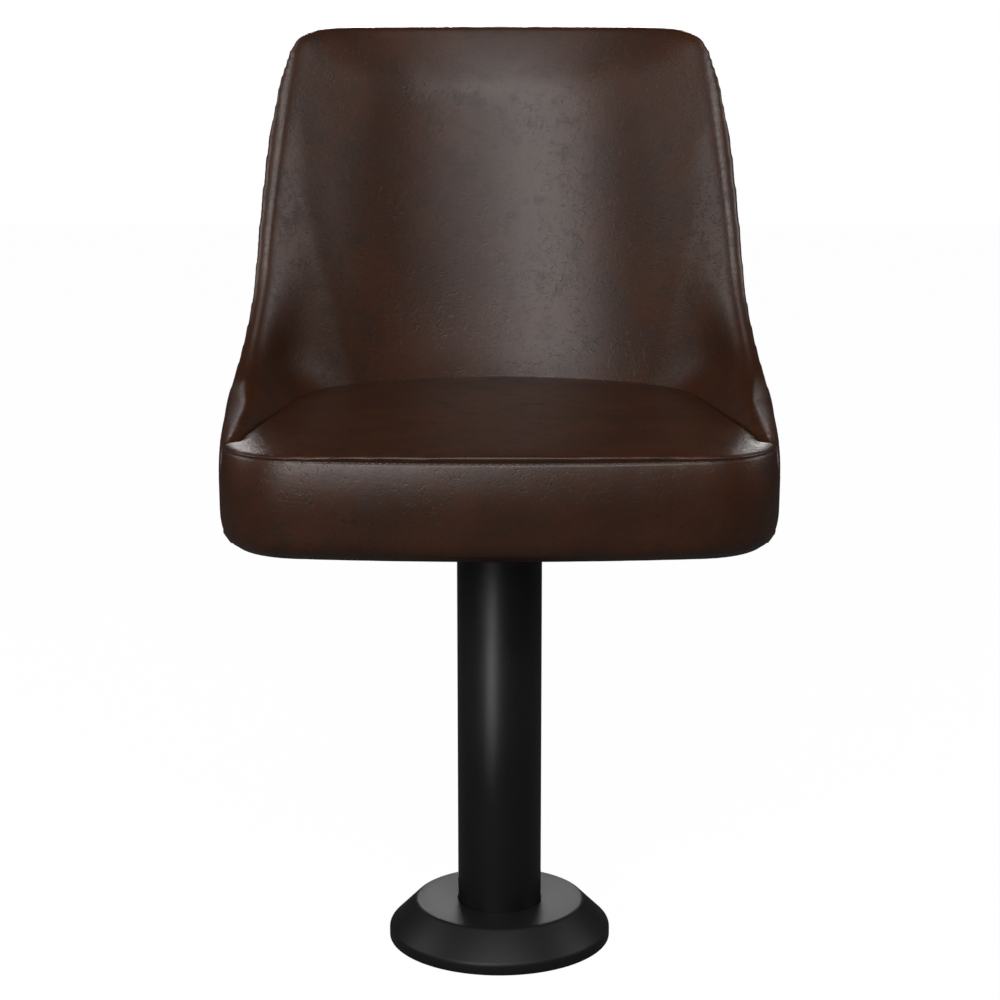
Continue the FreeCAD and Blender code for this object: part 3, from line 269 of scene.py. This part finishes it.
turned_steel = finished("turned_steel", turned_rings, {
    "Metal": (0.42, 0.42, 0.43, 1.0), "Grease": (0.12, 0.09, 0.05, 1.0)}, (0.3, 0.0001),
    metallic=1.0)
turned_bronze = finished("turned_bronze", turned_rings, {
    "Metal": (0.5, 0.3, 0.12, 1.0), "Grease": (0.16, 0.1, 0.04, 1.0)}, (0.3, 0.0001),
    metallic=1.0)
ground_steel = finished("ground_steel", turned_rings, {
    "Metal": (0.66, 0.66, 0.67, 1.0), "Grease": (0.3, 0.24, 0.14, 1.0), "Gloss": 0.1},
    (0.15, 0.00005), metallic=1.0)
dress(turned_steel, "bearing_housing", "swivel_spindle", "spindle_weld")
dress(turned_bronze, "lower_bush", "upper_bush", "ball_cage")
dress(ground_steel, "lower_race", "upper_race", "bearing_balls")


# Fasteners: zinc-plated washers, nuts, bolts, staples and screws.
# The plating is bright with a cloudy passivated bloom and small dull spots.

zinc_bloom, given, made = effect_group(
    "zinc_bloom",
    [("Place", PLACE, (0.0, 0.0, 0.0)), ("Plating", TINT, (0.6, 0.61, 0.63, 1.0)),
     ("Bloom", TINT, (0.42, 0.43, 0.42, 1.0)), ("Gloss", NUMBER, 0.28)],
    [("Color", TINT), ("Roughness", NUMBER), ("Height", NUMBER)])
bloom = spread(zinc_bloom, noise(zinc_bloom, given.outputs["Place"], 170.0, 4.0), 0.35, 0.7)
pits = noise(zinc_bloom, given.outputs["Place"], 1500.0, 2.0)
zinc_bloom.links.new(mixed(zinc_bloom, bloom, given.outputs["Plating"], given.outputs["Bloom"]),
                     made.inputs["Color"])
zinc_bloom.links.new(sums(zinc_bloom, "MULTIPLY_ADD", bloom, 0.2, given.outputs["Gloss"]),
                     made.inputs["Roughness"])
zinc_bloom.links.new(pits, made.inputs["Height"])
zinc_plate = finished("zinc_plate", zinc_bloom, {}, (0.2, 0.0001), metallic=1.0)
dress(zinc_plate, "spindle_washer", "spindle_nut", "plate_bolts", "plate_washers", "tee_nuts",
      "cloth_staples", "back_screws")


# The seat plate and the dust ring under it: steel, coated in the same black as the column.
# The plate is a little rougher, because its coat is thin.

plate_powder = finished("plate_powder", powder_skin, {
    "Paint": (0.008, 0.008, 0.0085, 1.0), "Dust": (0.05, 0.048, 0.045, 1.0),
    "Dust Share": 0.2, "Gloss": 0.46}, (0.35, 0.0004))
dress(plate_powder, "mounting_plate", "dust_ring")


# The base cover: a spun steel bell in matte black that hides the floor bolts.
# Its rim stands upright on the floor, and its edges are rounded by the spinning.

def keep_mesh(shape, name):
    """A new object that holds a finished shape."""
    mesh = bpy.data.meshes.new(name)
    shape.to_mesh(mesh)
    shape.free()
    piece = bpy.data.objects.new(name, mesh)
    bpy.context.scene.collection.objects.link(piece)
    for face in mesh.polygons:
        face.use_smooth = True
    return piece


bore_radius, top_radius, rim_radius = 0.0386, 0.0770, 0.1016
top_height, rim_height = 0.0346, 0.0100
sheet, slope_inset = 0.0020, 0.0008
cover_section = [(bore_radius, top_height), (top_radius, top_height), (rim_radius, rim_height),
                 (rim_radius, 0.0), (rim_radius - sheet, 0.0),
                 (rim_radius - sheet, rim_height - slope_inset),
                 (top_radius - slope_inset, top_height - sheet),
                 (bore_radius, top_height - sheet)]
bell = bmesh.new()
section = [bell.verts.new((radius, 0.0, height)) for radius, height in cover_section]
outline = [bell.edges.new((point, section[index - 1])) for index, point in enumerate(section)]
bmesh.ops.spin(bell, geom=section + outline, axis=(0.0, 0.0, 1.0), cent=(0.0, 0.0, 0.0),
               angle=2.0 * math.pi, steps=144, use_merge=True)
bmesh.ops.recalc_face_normals(bell, faces=bell.faces)
outer_round, foot_round, bore_round = 0.0022, 0.0006, 0.0005
nearly = 0.00001


def on_ring(point, ring):
    """Whether a point of the bell lies on the ring that a corner of the section draws."""
    radius, height = ring
    return abs(point.co.xy.length - radius) < nearly and abs(point.co.z - height) < nearly


for rounding, corners in ((outer_round, cover_section[1:3]), (foot_round, cover_section[3:5]),
                          (bore_round, cover_section[0:1])):
    rims = [edge for edge in bell.edges
            if any(all(on_ring(point, corner) for point in edge.verts) for corner in corners)]
    bmesh.ops.bevel(bell, geom=rims, offset=rounding, offset_type="OFFSET", affect="EDGES",
                    segments=4, profile=0.5, material=-1)
base_bell = keep_mesh(bell, "base_bell")
cover_powder = finished("cover_powder", powder_skin, {
    "Paint": (0.006, 0.006, 0.0062, 1.0), "Dust": (0.03, 0.03, 0.03, 1.0),
    "Dust Share": 0.1, "Gloss": 0.42}, (0.2, 0.0003), specular=0.3)
base_bell.data.materials.append(cover_powder)
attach(base_bell, "cover")
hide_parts("base_cover")


# The plywood: the flat seat board and the bent back shell, both raw and hidden by the covers.
# Their faces show long grain, and their edges show the plies.

ply_grain, given, made = effect_group(
    "ply_grain",
    [("Place", PLACE, (0.0, 0.0, 0.0)), ("Light Wood", TINT, (0.5, 0.34, 0.18, 1.0)),
     ("Dark Wood", TINT, (0.3, 0.17, 0.08, 1.0)), ("Ply", NUMBER, 660.0)],
    [("Color", TINT), ("Roughness", NUMBER), ("Height", NUMBER)])
stretched = shader(ply_grain, "ShaderNodeMapping", {"Vector": given.outputs["Place"],
                                                    "Scale": (1.0, 14.0, 14.0)})
grain = noise(ply_grain, stretched.outputs[0], 16.0, 5.0, 0.6, 0.4)
ply_place = shader(ply_grain, "ShaderNodeSeparateXYZ", {0: given.outputs["Place"]})
plies = sums(ply_grain, "SINE", sums(ply_grain, "MULTIPLY", ply_place.outputs[2],
                                     given.outputs["Ply"]))
layers = spread(ply_grain, plies, -0.5, 0.5, 0.0, 0.35)
ply_grain.links.new(mixed(ply_grain, sums(ply_grain, "ADD", spread(ply_grain, grain, 0.35, 0.7),
                                          layers), given.outputs["Light Wood"],
                          given.outputs["Dark Wood"]), made.inputs["Color"])
ply_grain.links.new(spread(ply_grain, grain, 0.3, 0.7, 0.6, 0.75), made.inputs["Roughness"])
ply_grain.links.new(grain, made.inputs["Height"])
dress(finished("raw_plywood", ply_grain, {}, (0.3, 0.0003)), "seat_board", "back_shell")


# The dust cloth: thin black spun-bonded cloth, stapled under the board.
# It is pressed together in small dots, which show as a fine regular grid.

bonded_cloth, given, made = effect_group(
    "bonded_cloth",
    [("Place", PLACE, (0.0, 0.0, 0.0)), ("Cloth", TINT, (0.012, 0.012, 0.013, 1.0)),
     ("Fibre", TINT, (0.04, 0.04, 0.042, 1.0))],
    [("Color", TINT), ("Roughness", NUMBER), ("Height", NUMBER)])
dots = shader(bonded_cloth, "ShaderNodeTexVoronoi", {"Vector": given.outputs["Place"],
                                                     "Scale": 520.0, "Randomness": 0.15})
dot_height = spread(bonded_cloth, dots.outputs["Distance"], 0.1, 0.45)
fibres = noise(bonded_cloth, given.outputs["Place"], 1400.0, 4.0, 0.7)
bonded_cloth.links.new(mixed(bonded_cloth, sums(bonded_cloth, "MULTIPLY", dot_height, fibres),
                             given.outputs["Cloth"], given.outputs["Fibre"]), made.inputs["Color"])
bonded_cloth.links.new(spread(bonded_cloth, dot_height, 0.0, 1.0, 0.6, 0.95),
                       made.inputs["Roughness"])
bonded_cloth.links.new(sums(bonded_cloth, "MULTIPLY_ADD", fibres, 0.4, dot_height),
                       made.inputs["Height"])
dress(finished("black_cloth", bonded_cloth, {}, (0.5, 0.0003)), "dust_cloth")


# The seat cushion: foam on the board under a crowned top panel and a swelling band.
# Both are dark brown leather-look vinyl, drawn under the board and stapled there.
# A row of stitches lies in the seam between the two.

def skin_over(name, square, *members):
    """One closed skin round several CAD solids, as a mesh of even squares."""
    blank = bmesh.new()
    for member in members:
        blank.from_mesh(nodes[member].data)
    bmesh.ops.remove_doubles(blank, verts=blank.verts, dist=0.00001)
    piece = keep_mesh(blank, name)
    even_squares(piece, square)
    return piece


def even_squares(piece, square):
    """Redraws a closed skin in squares of one size."""
    change = piece.modifiers.new("even_squares", "REMESH")
    change.mode = "VOXEL"
    change.voxel_size = square
    keep_changes(piece)


def keep_changes(piece):
    """Makes what the modifiers show the piece's own mesh."""
    graph = bpy.context.evaluated_depsgraph_get()
    mesh = bpy.data.meshes.new_from_object(piece.evaluated_get(graph))
    piece.modifiers.clear()
    piece.data = mesh
    for face in mesh.polygons:
        face.use_smooth = True


def rows_of(source, label):
    """One vector for each point of a mesh, as an array."""
    flat = np.empty(len(source) * 3, dtype=np.float32)
    source.foreach_get(label, flat)
    return flat.reshape(-1, 3).astype(float)


def place_points(mesh, points):
    """Moves a mesh's points."""
    mesh.vertices.foreach_set("co", points.astype(np.float32).ravel())
    mesh.update()


def soft_step(numbers, low, high):
    """0 below one number and 1 above the other, with a smooth change between them."""
    share = np.clip((numbers - low) / (high - low), 0.0, 1.0)
    return share * share * (3.0 - 2.0 * share)


def eased(mesh, field, freedom, rounds):
    """Evens out a number or a place at each point by easing it towards its neighbours'."""
    ends = np.empty(len(mesh.edges) * 2, dtype=np.int32)
    mesh.edges.foreach_get("vertices", ends)
    first, second = ends.reshape(-1, 2).T
    count = len(mesh.vertices)
    neighbours = np.bincount(first, minlength=count) + np.bincount(second, minlength=count)
    columns = [column.copy() for column in np.atleast_2d(field.T)]
    for _ in range(rounds):
        for column in columns:
            total = (np.bincount(first, weights=column[second], minlength=count)
                     + np.bincount(second, weights=column[first], minlength=count))
            column += 0.5 * freedom * (total / np.maximum(neighbours, 1) - column)
    return np.array(columns).T if field.ndim > 1 else columns[0]


SKIN_SQUARE = 0.0027
COARSE_SQUARE = 0.006
CLOTH_FRAMES = 20


def swell(piece, cap, loose):
    """Blows a coarse copy of the cover up over its foam, and gives the cover that swelling."""
    rough = piece.copy()
    rough.data = piece.data.copy()
    bpy.context.scene.collection.objects.link(rough)
    even_squares(rough, COARSE_SQUARE)
    start, outward = rows_of(rough.data.vertices, "co"), rows_of(rough.data.vertices, "normal")
    freedom = loose(start)
    grip = rough.vertex_groups.new(name="grip")
    for weight in (0.0, 0.25, 0.5, 0.75, 1.0):
        chosen = np.nonzero(np.abs(1.0 - freedom - weight) <= 0.125)[0]
        grip.add(chosen.tolist(), weight, "REPLACE")
    cloth = rough.modifiers.new("cloth", "CLOTH")
    cloth.settings.use_pressure = True
    cloth.settings.uniform_pressure_force = 4.0
    cloth.settings.effector_weights.gravity = 0.0
    cloth.settings.vertex_group_mass = "grip"
    cloth.settings.tension_stiffness = 20.0
    cloth.settings.compression_stiffness = 20.0
    cloth.settings.bending_stiffness = 1.0
    cloth.point_cache.frame_start = 1
    cloth.point_cache.frame_end = CLOTH_FRAMES
    for number in range(1, CLOTH_FRAMES + 1):
        bpy.context.scene.frame_set(number)
    keep_changes(rough)
    bpy.context.scene.frame_set(1)
    rise = np.sum((rows_of(rough.data.vertices, "co") - start) * outward, axis=1)
    rise = eased(rough.data, np.clip(rise, 0.0, cap) * freedom, 1.0, 10)
    spots = kdtree.KDTree(len(start))
    for index, spot in enumerate(start):
        spots.insert(spot, index)
    spots.balance()
    points, outward = rows_of(piece.data.vertices, "co"), rows_of(piece.data.vertices, "normal")
    rise = eased(piece.data, rise[[spots.find(point)[1] for point in points]], 1.0, 30)
    place_points(piece.data, points + outward * rise[:, None])
    bpy.data.objects.remove(rough)
    print(piece.name, "swelled by up to", round(float(rise.max()) * 1000, 2), "mm")


def ruled_at(piece, reading, levels, wanted):
    """Gives a cover edges along the lines where a reading of its points has certain values."""
    shape = bmesh.new()
    shape.from_mesh(piece.data)
    for level in levels:
        places = np.array([point.co for point in shape.verts])
        over = reading(places) - level
        near = wanted(places)
        shape.verts.ensure_lookup_table()
        fresh = []
        for edge in list(shape.edges):
            one, two = edge.verts[0].index, edge.verts[1].index
            if over[one] * over[two] < 0 and near[one] and near[two]:
                split = bmesh.utils.edge_split(edge, edge.verts[0],
                                               over[one] / (over[one] - over[two]))
                fresh.append(split[1])
        bmesh.ops.connect_verts(shape, verts=fresh)
        shape.verts.index_update()
    shape.to_mesh(piece.data)
    shape.free()
    for face in piece.data.polygons:
        face.use_smooth = True


def drawn_in(mesh, distance, width, depth):
    """Draws a cover in along a line, where the distance to it is nought."""
    points, outward = rows_of(mesh.vertices, "co"), rows_of(mesh.vertices, "normal")
    place_points(mesh, points - outward * (depth * np.exp(-(distance / width) ** 2))[:, None])


SEAM_HEIGHT = 0.482
WING_FRONT = -0.118
BOARD_FOOT = 0.39744
cushion = skin_over("seat_cushion", SKIN_SQUARE, "seat_board", "seat_foam", "seat_band_cover",
                    "seat_top_cover")
points = rows_of(cushion.data.vertices, "co")
place_points(cushion.data, eased(cushion.data, points, 1.0, 12))


def slack(places):
    """How freely the cushion's cover may rise: most on its top, less on its front."""
    in_front = soft_step(-places[:, 1], -WING_FRONT - 0.005, -WING_FRONT + 0.02)
    on_top = soft_step(places[:, 2], SEAM_HEIGHT - 0.006, SEAM_HEIGHT + 0.002)
    board_edge, band_free = 0.41, 0.44
    above_board = soft_step(places[:, 2], board_edge, band_free)
    return np.maximum(on_top, 0.4 * in_front * above_board)


swell(cushion, cap=0.002, loose=slack)
points = rows_of(cushion.data.vertices, "co")
flat_up_to, unchanged_from = 0.398, 0.4005
UNDER_BOARD = BOARD_FOOT - 0.0003
at_foot = soft_step(-points[:, 2], -unchanged_from, -flat_up_to)
points[:, 2] = points[:, 2] * (1.0 - at_foot) + UNDER_BOARD * at_foot
place_points(cushion.data, points)

# The band rolls in towards its seam, most at the front, and not where the wings hold it.
outward = rows_of(cushion.data.vertices, "normal")
roll_height, side_roll, more_in_front = 0.045, 0.0020, 0.0038
under_seam = np.clip(SEAM_HEIGHT - points[:, 2], 0.0, 1.0)
rolled = np.clip(1.0 - under_seam / roll_height, 0.0, 1.0) ** 2
free = soft_step(-points[:, 1], -WING_FRONT - 0.03, -WING_FRONT)
rolled *= side_roll + more_in_front * np.abs(outward[:, 1])
points[:, :2] -= outward[:, :2] * (rolled * free)[:, None]
place_points(cushion.data, points)


def sewn(places):
    """Which points are on the cushion's free front and sides, near its seam."""
    return (places[:, 1] < WING_FRONT + 0.03) & (np.abs(places[:, 2] - SEAM_HEIGHT) < 0.012)


groove, groove_edge = 0.0009, 0.0022
ruled_at(cushion, lambda places: places[:, 2] - SEAM_HEIGHT,
         (-groove_edge, -groove, 0.0, groove, groove_edge), sewn)
points = rows_of(cushion.data.vertices, "co")
seam_gap = np.where(sewn(points), points[:, 2] - SEAM_HEIGHT, 1.0)
on_seam = points[np.abs(seam_gap) < 0.00002]
drawn_in(cushion.data, seam_gap, width=groove, depth=groove)

vinyl_skin, given, made = effect_group(
    "vinyl_skin",
    [("Place", PLACE, (0.0, 0.0, 0.0)), ("Light Tone", TINT, (0.040, 0.0108, 0.0022, 1.0)),
     ("Dark Tone", TINT, (0.029, 0.0078, 0.0016, 1.0)),
     ("Fleck And Crease Shade", TINT, (0.008, 0.0035, 0.0017, 1.0)),
     ("Gloss", NUMBER, 0.40), ("Creasing", NUMBER, 1.0)],
    [("Color", TINT), ("Roughness", NUMBER), ("Height", NUMBER)])
place = given.outputs["Place"]
patches = spread(vinyl_skin, noise(vinyl_skin, place, 16.0, 3.0), 0.36, 0.66)
blotches = spread(vinyl_skin, noise(vinyl_skin, place, 60.0, 3.0, 0.6), 0.5, 0.72)
fleck_field = spread(vinyl_skin, noise(vinyl_skin, place, 24.0, 1.0), 0.45, 0.6)
flecks = sums(vinyl_skin, "MULTIPLY", spread(vinyl_skin, noise(vinyl_skin, place, 190.0, 2.0),
                                             0.6, 0.72), fleck_field)
tone = mixed(vinyl_skin, patches, given.outputs["Dark Tone"], given.outputs["Light Tone"])
tone = mixed(vinyl_skin, sums(vinyl_skin, "MULTIPLY", blotches, 0.4), tone,
             given.outputs["Fleck And Crease Shade"])
tone = mixed(vinyl_skin, sums(vinyl_skin, "MULTIPLY", flecks, 0.6), tone, given.outputs["Fleck And Crease Shade"])


def fine_lines(tree, where, scale, width, breaks):
    """Short thin curved lines: level lines of a cloud, broken up by another cloud."""
    off_level = sums(tree, "ABSOLUTE", sums(tree, "SUBTRACT", noise(tree, where, scale, 1.0, 0.5,
                                                                    0.6), 0.5))
    whole = spread(tree, off_level, 0.0, width, 1.0, 0.0)
    broken = spread(tree, noise(tree, where, breaks, 1.0), 0.47, 0.6)
    return sums(tree, "MULTIPLY", whole, broken)


worked = spread(vinyl_skin, noise(vinyl_skin, place, 15.0, 2.0), 0.38, 0.62, 0.5, 1.0)
creases = sums(vinyl_skin, "ADD", fine_lines(vinyl_skin, place, 95.0, 0.03, 110.0),
               fine_lines(vinyl_skin, place, 180.0, 0.045, 190.0))
creases = sums(vinyl_skin, "MULTIPLY", sums(vinyl_skin, "MULTIPLY", creases, worked),
               given.outputs["Creasing"])
crinkle = noise(vinyl_skin, place, 260.0, 3.0, 0.6)
relief = sums(vinyl_skin, "MULTIPLY_ADD", creases, -0.45,
              sums(vinyl_skin, "MULTIPLY", crinkle, 0.6))
# The crease lines also darken the colour towards the fleck tone: this is painted shade in the
# creases, on top of their bump.
vinyl_skin.links.new(mixed(vinyl_skin, sums(vinyl_skin, "MULTIPLY", creases, 0.35), tone,
                           given.outputs["Fleck And Crease Shade"]), made.inputs["Color"])
vinyl_skin.links.new(sums(vinyl_skin, "MULTIPLY_ADD", blotches, 0.06, given.outputs["Gloss"]),
                     made.inputs["Roughness"])
vinyl_skin.links.new(relief, made.inputs["Height"])
brown_vinyl = finished("brown_vinyl", vinyl_skin, {}, (0.3, 0.0006))
cushion.data.materials.clear()
cushion.data.materials.append(brown_vinyl)
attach(cushion, "seat")
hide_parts("seat_foam", "seat_band_cover", "seat_top_cover")


# The seam's stitches: dark polyester thread, one stitch every 5.5 mm.
# Each stitch lies sunk in the seam, so only its back shows.

along = on_seam[np.argsort(np.arctan2(on_seam[:, 0], -on_seam[:, 1]))]
steps = np.linalg.norm(np.diff(along[:, :2], axis=0), axis=1)
travel = np.concatenate([[0.0], np.cumsum(steps)])
stitch_pitch, stitch_length, thread, stitch_sunk = 0.0055, 0.0040, 0.0009, 0.0007
thread_row = bmesh.new()
for index in range(int(travel[-1] / stitch_pitch)):
    ends = [[np.interp(stitch_pitch * (index + share), travel, along[:, axis])
             for axis in (0, 1)] for share in (0.1, 0.9)]
    (x_low, y_low), (x_high, y_high) = ends
    heading = math.atan2(y_high - y_low, x_high - x_low)
    middle = Vector(((x_low + x_high) / 2, (y_low + y_high) / 2, SEAM_HEIGHT))
    inward = Vector((-math.sin(heading), math.cos(heading), 0.0))
    stretch = Matrix.Diagonal((stitch_length / 2, thread / 2, thread / 2, 1.0))
    spot = (Matrix.Translation(middle + inward * stitch_sunk)
            @ Matrix.Rotation(heading, 4, "Z") @ stretch)
    bmesh.ops.create_uvsphere(thread_row, u_segments=6, v_segments=5, radius=1.0,
                              matrix=spot @ Matrix.Rotation(math.radians(90.0), 4, "Y"))
seam_stitches = keep_mesh(thread_row, "seam_stitches")
thread_twist, given, made = effect_group(
    "thread_twist",
    [("Place", PLACE, (0.0, 0.0, 0.0)), ("Thread", TINT, (0.008, 0.004, 0.003, 1.0)),
     ("Fibre", TINT, (0.03, 0.018, 0.012, 1.0))],
    [("Color", TINT), ("Roughness", NUMBER), ("Height", NUMBER)])
strands = noise(thread_twist, given.outputs["Place"], 2600.0, 2.0)
thread_twist.links.new(mixed(thread_twist, strands, given.outputs["Thread"],
                             given.outputs["Fibre"]), made.inputs["Color"])
thread_twist.links.new(spread(thread_twist, strands, 0.2, 0.8, 0.5, 0.8),
                       made.inputs["Roughness"])
thread_twist.links.new(strands, made.inputs["Height"])
seam_stitches.data.materials.append(finished("dark_thread", thread_twist, {}, (0.4, 0.0002)))
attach(seam_stitches, "seat")


# The padded back: foam over the bent shell, with the same vinyl drawn over it and rolled round
# the rim. An outer panel closes it behind, and is sewn on a finger's width below the rim.

BACK_TOP = 0.818


def shell_depth(places):
    """How far points lie inside the shell's outside, which is four arcs each side in plan."""
    x, y, z = np.abs(places[:, 0]), places[:, 1], places[:, 2]
    share = (z - BOARD_FOOT) / (BACK_TOP - BOARD_FOOT)
    narrowing, rear_at_foot, lean = 0.035, 0.263, 0.052
    scale = 1.0 - narrowing * share
    rear, shoulder, flank, side = 0.300, 0.1677, 0.405, 1.400
    turns = [math.radians(angle) for angle in (26.0, 70.0, 90.0)]
    centre_x = np.zeros_like(x)
    centre_y = rear_at_foot + lean * share - rear * scale
    depth = rear * scale - np.hypot(x, y - centre_y)
    for turn, before, radius in zip(turns, (rear, shoulder, flank), (shoulder, flank, side)):
        centre_x = centre_x + (before - radius) * scale * math.sin(turn)
        centre_y = centre_y + (before - radius) * scale * math.cos(turn)
        past = np.arctan2(x - centre_x, y - centre_y) > turn
        depth = np.where(past, radius * scale - np.hypot(x - centre_x, y - centre_y), depth)
    return depth


back = skin_over("back_pad", SKIN_SQUARE, "back_shell", "back_foam", "back_inner_cover",
                 "back_edge_roll", "back_outer_cover")


def chosen_faces(wanted, *names):
    """A search tree of the faces of CAD solids that pass a test."""
    corners, faces = [], []
    for name in names:
        mesh = nodes[name].data
        first = len(corners)
        corners += [point.co.copy() for point in mesh.vertices]
        faces += [[first + index for index in face.vertices] for face in mesh.polygons
                  if wanted(face.center, face.normal)]
    return BVHTree.FromPolygons(corners, faces)


def nearest(tree, places):
    """How far each point is from the nearest face of a search tree, and where that faces."""
    found = [tree.find_nearest(place) for place in places]
    return np.array([item[3] for item in found]), np.array([item[1] for item in found])


UPWARDS = 0.25
BACK_MIDDLE = 0.012


def faces_in(middle, facing):
    """Whether a face is on the back's inside, and not on the wings' ends."""
    return (abs(facing.z) < UPWARDS and middle.y > WING_FRONT + 0.002
            and shell_depth(np.array([middle]))[0] > BACK_MIDDLE)


rim_faces = chosen_faces(lambda middle, facing: facing.z > UPWARDS, "back_edge_roll")
inner_faces = chosen_faces(faces_in, "back_edge_roll", "back_inner_cover")
points = rows_of(back.data.vertices, "co")
rim_gap, off_rim = nearest(rim_faces, points)
depth = np.maximum(shell_depth(points), 0.0)
through = np.clip(depth / (depth + nearest(inner_faces, points)[0] + 0.0001), 0.0, 1.0)
high = soft_step(points[:, 2], 0.50, 0.66)


def across(places):
    """The level direction straight out through the shell, at each point."""
    step = 0.0005
    slopes = [(shell_depth(places - shift) - shell_depth(places + shift)) / (2.0 * step)
              for shift in (np.array([step, 0.0, 0.0]), np.array([0.0, step, 0.0]))]
    return np.stack([slopes[0], slopes[1], np.zeros(len(places))], axis=1)


# The rim's outer half is rounded back, less at the top corners. The inside tapers towards the
# rim, and the outside flares a little there. All three grow with the height on the back.
rim_crest, rim_width, corner_foot = 0.92, 0.035, 0.715
outer_half = np.clip((rim_crest - through) / rim_crest, 0.0, 1.0)
rounding = (0.007 + 0.005 * high) * (1.0 - np.sqrt(1.0 - outer_half ** 2))
rounding *= np.clip(1.0 - rim_gap / rim_width, 0.0, 1.0)
rounding *= 1.0 - 0.45 * soft_step(points[:, 2], corner_foot, 0.765)
taper_width = 0.025 + 0.040 * high
tapered = (0.005 + 0.008 * high) * np.clip(1.0 - rim_gap / taper_width, 0.0, 1.0) ** 2 * through
flared = (0.0028 + 0.0020 * high) * np.exp(-(rim_gap / rim_width) ** 2) * (1.0 - through)
flared *= 1.0 - soft_step(points[:, 2], corner_foot, 0.770)
shift = across(points) * (tapered + flared)[:, None] - off_rim * rounding[:, None]
place_points(back.data, points + eased(back.data, shift, 1.0, 30))
even_squares(back, SKIN_SQUARE)

# The squares' small steps are evened out without shrinking the back, and its inside is eased more.
points = rows_of(back.data.vertices, "co")
above_foot = soft_step(points[:, 2], BOARD_FOOT + 0.002, BOARD_FOOT + 0.008)
give_back = 1.06
for _ in range(25):
    points = eased(back.data, points, above_foot, 1)
    points = eased(back.data, points, -give_back * above_foot, 1)
depth = np.maximum(shell_depth(points), 0.0)
through = np.clip(depth / (depth + nearest(inner_faces, points)[0] + 0.0001), 0.0, 1.0)
soft = np.maximum(soft_step(through, 0.25, 0.80), 0.12)
points = eased(back.data, points, soft * above_foot, 90)

# The foot is made even and flat, and the outer panel is kept clear of the plywood under it.
at_foot = 1.0 - soft_step(points[:, 2], BOARD_FOOT + 0.004, BOARD_FOOT + 0.012)
points[:, :2] = eased(back.data, points, at_foot, 8)[:, :2]
place_points(back.data, points)
faces_out = (rows_of(back.data.vertices, "normal") * across(points)).sum(axis=1)
held = soft_step(faces_out, 0.3, 0.6) * soft_step(nearest(rim_faces, points)[0], 0.006, 0.011)
deepest, most_pushed = 0.0004, 0.006
sunk = np.clip(shell_depth(points) - deepest, 0.0, most_pushed)
points += across(points) * (sunk * held)[:, None]
points[:, 2] = np.where(points[:, 2] < BOARD_FOOT + 0.0020, UNDER_BOARD, points[:, 2])

# The wings' feet are drawn under the seat a little, in line with the cushion's band.
tuck, tuck_height, tuck_start = 0.009, 0.030, -0.074
before = np.clip((tuck_start - points[:, 1]) / (tuck_start - WING_FRONT), 0.0, 1.0)
turned_under = np.clip(1.0 - (points[:, 2] - BOARD_FOOT) / tuck_height, 0.0, 1.0) ** 2.6
outer_side = 1.0 - soft_step(shell_depth(points), BACK_MIDDLE, 0.030)
points[:, 0] -= np.sign(points[:, 0]) * tuck * before * turned_under * outer_side
place_points(back.data, points)


def back_slack(places):
    """How freely the back's cover may rise: not on its outer panel, nor beside the seat."""
    return soft_step(shell_depth(places), 0.0025, 0.008) * soft_step(places[:, 2], 0.47, 0.50)


swell(back, cap=0.0015, loose=back_slack)


def outside(places):
    """Which points are on the back's outside, clear of its foot."""
    return (shell_depth(places) < 0.0016) & (places[:, 2] > BOARD_FOOT + 0.02)


PANEL_SEAM, seam_edge = 0.010, 0.0012
ruled_at(back, lambda places: nearest(rim_faces, places)[0],
         (PANEL_SEAM - seam_edge, PANEL_SEAM, PANEL_SEAM + seam_edge), outside)
points = rows_of(back.data.vertices, "co")
panel_gap = np.where(outside(points), nearest(rim_faces, points)[0] - PANEL_SEAM, 1.0)
drawn_in(back.data, panel_gap, width=0.0010, depth=0.0009)
back.data.materials.clear()
back.data.materials.append(brown_vinyl)
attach(back, "seat")
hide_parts("back_foam", "back_inner_cover", "back_edge_roll", "back_outer_cover")


# The scene is brought up to date at the end.

bpy.context.view_layer.update()
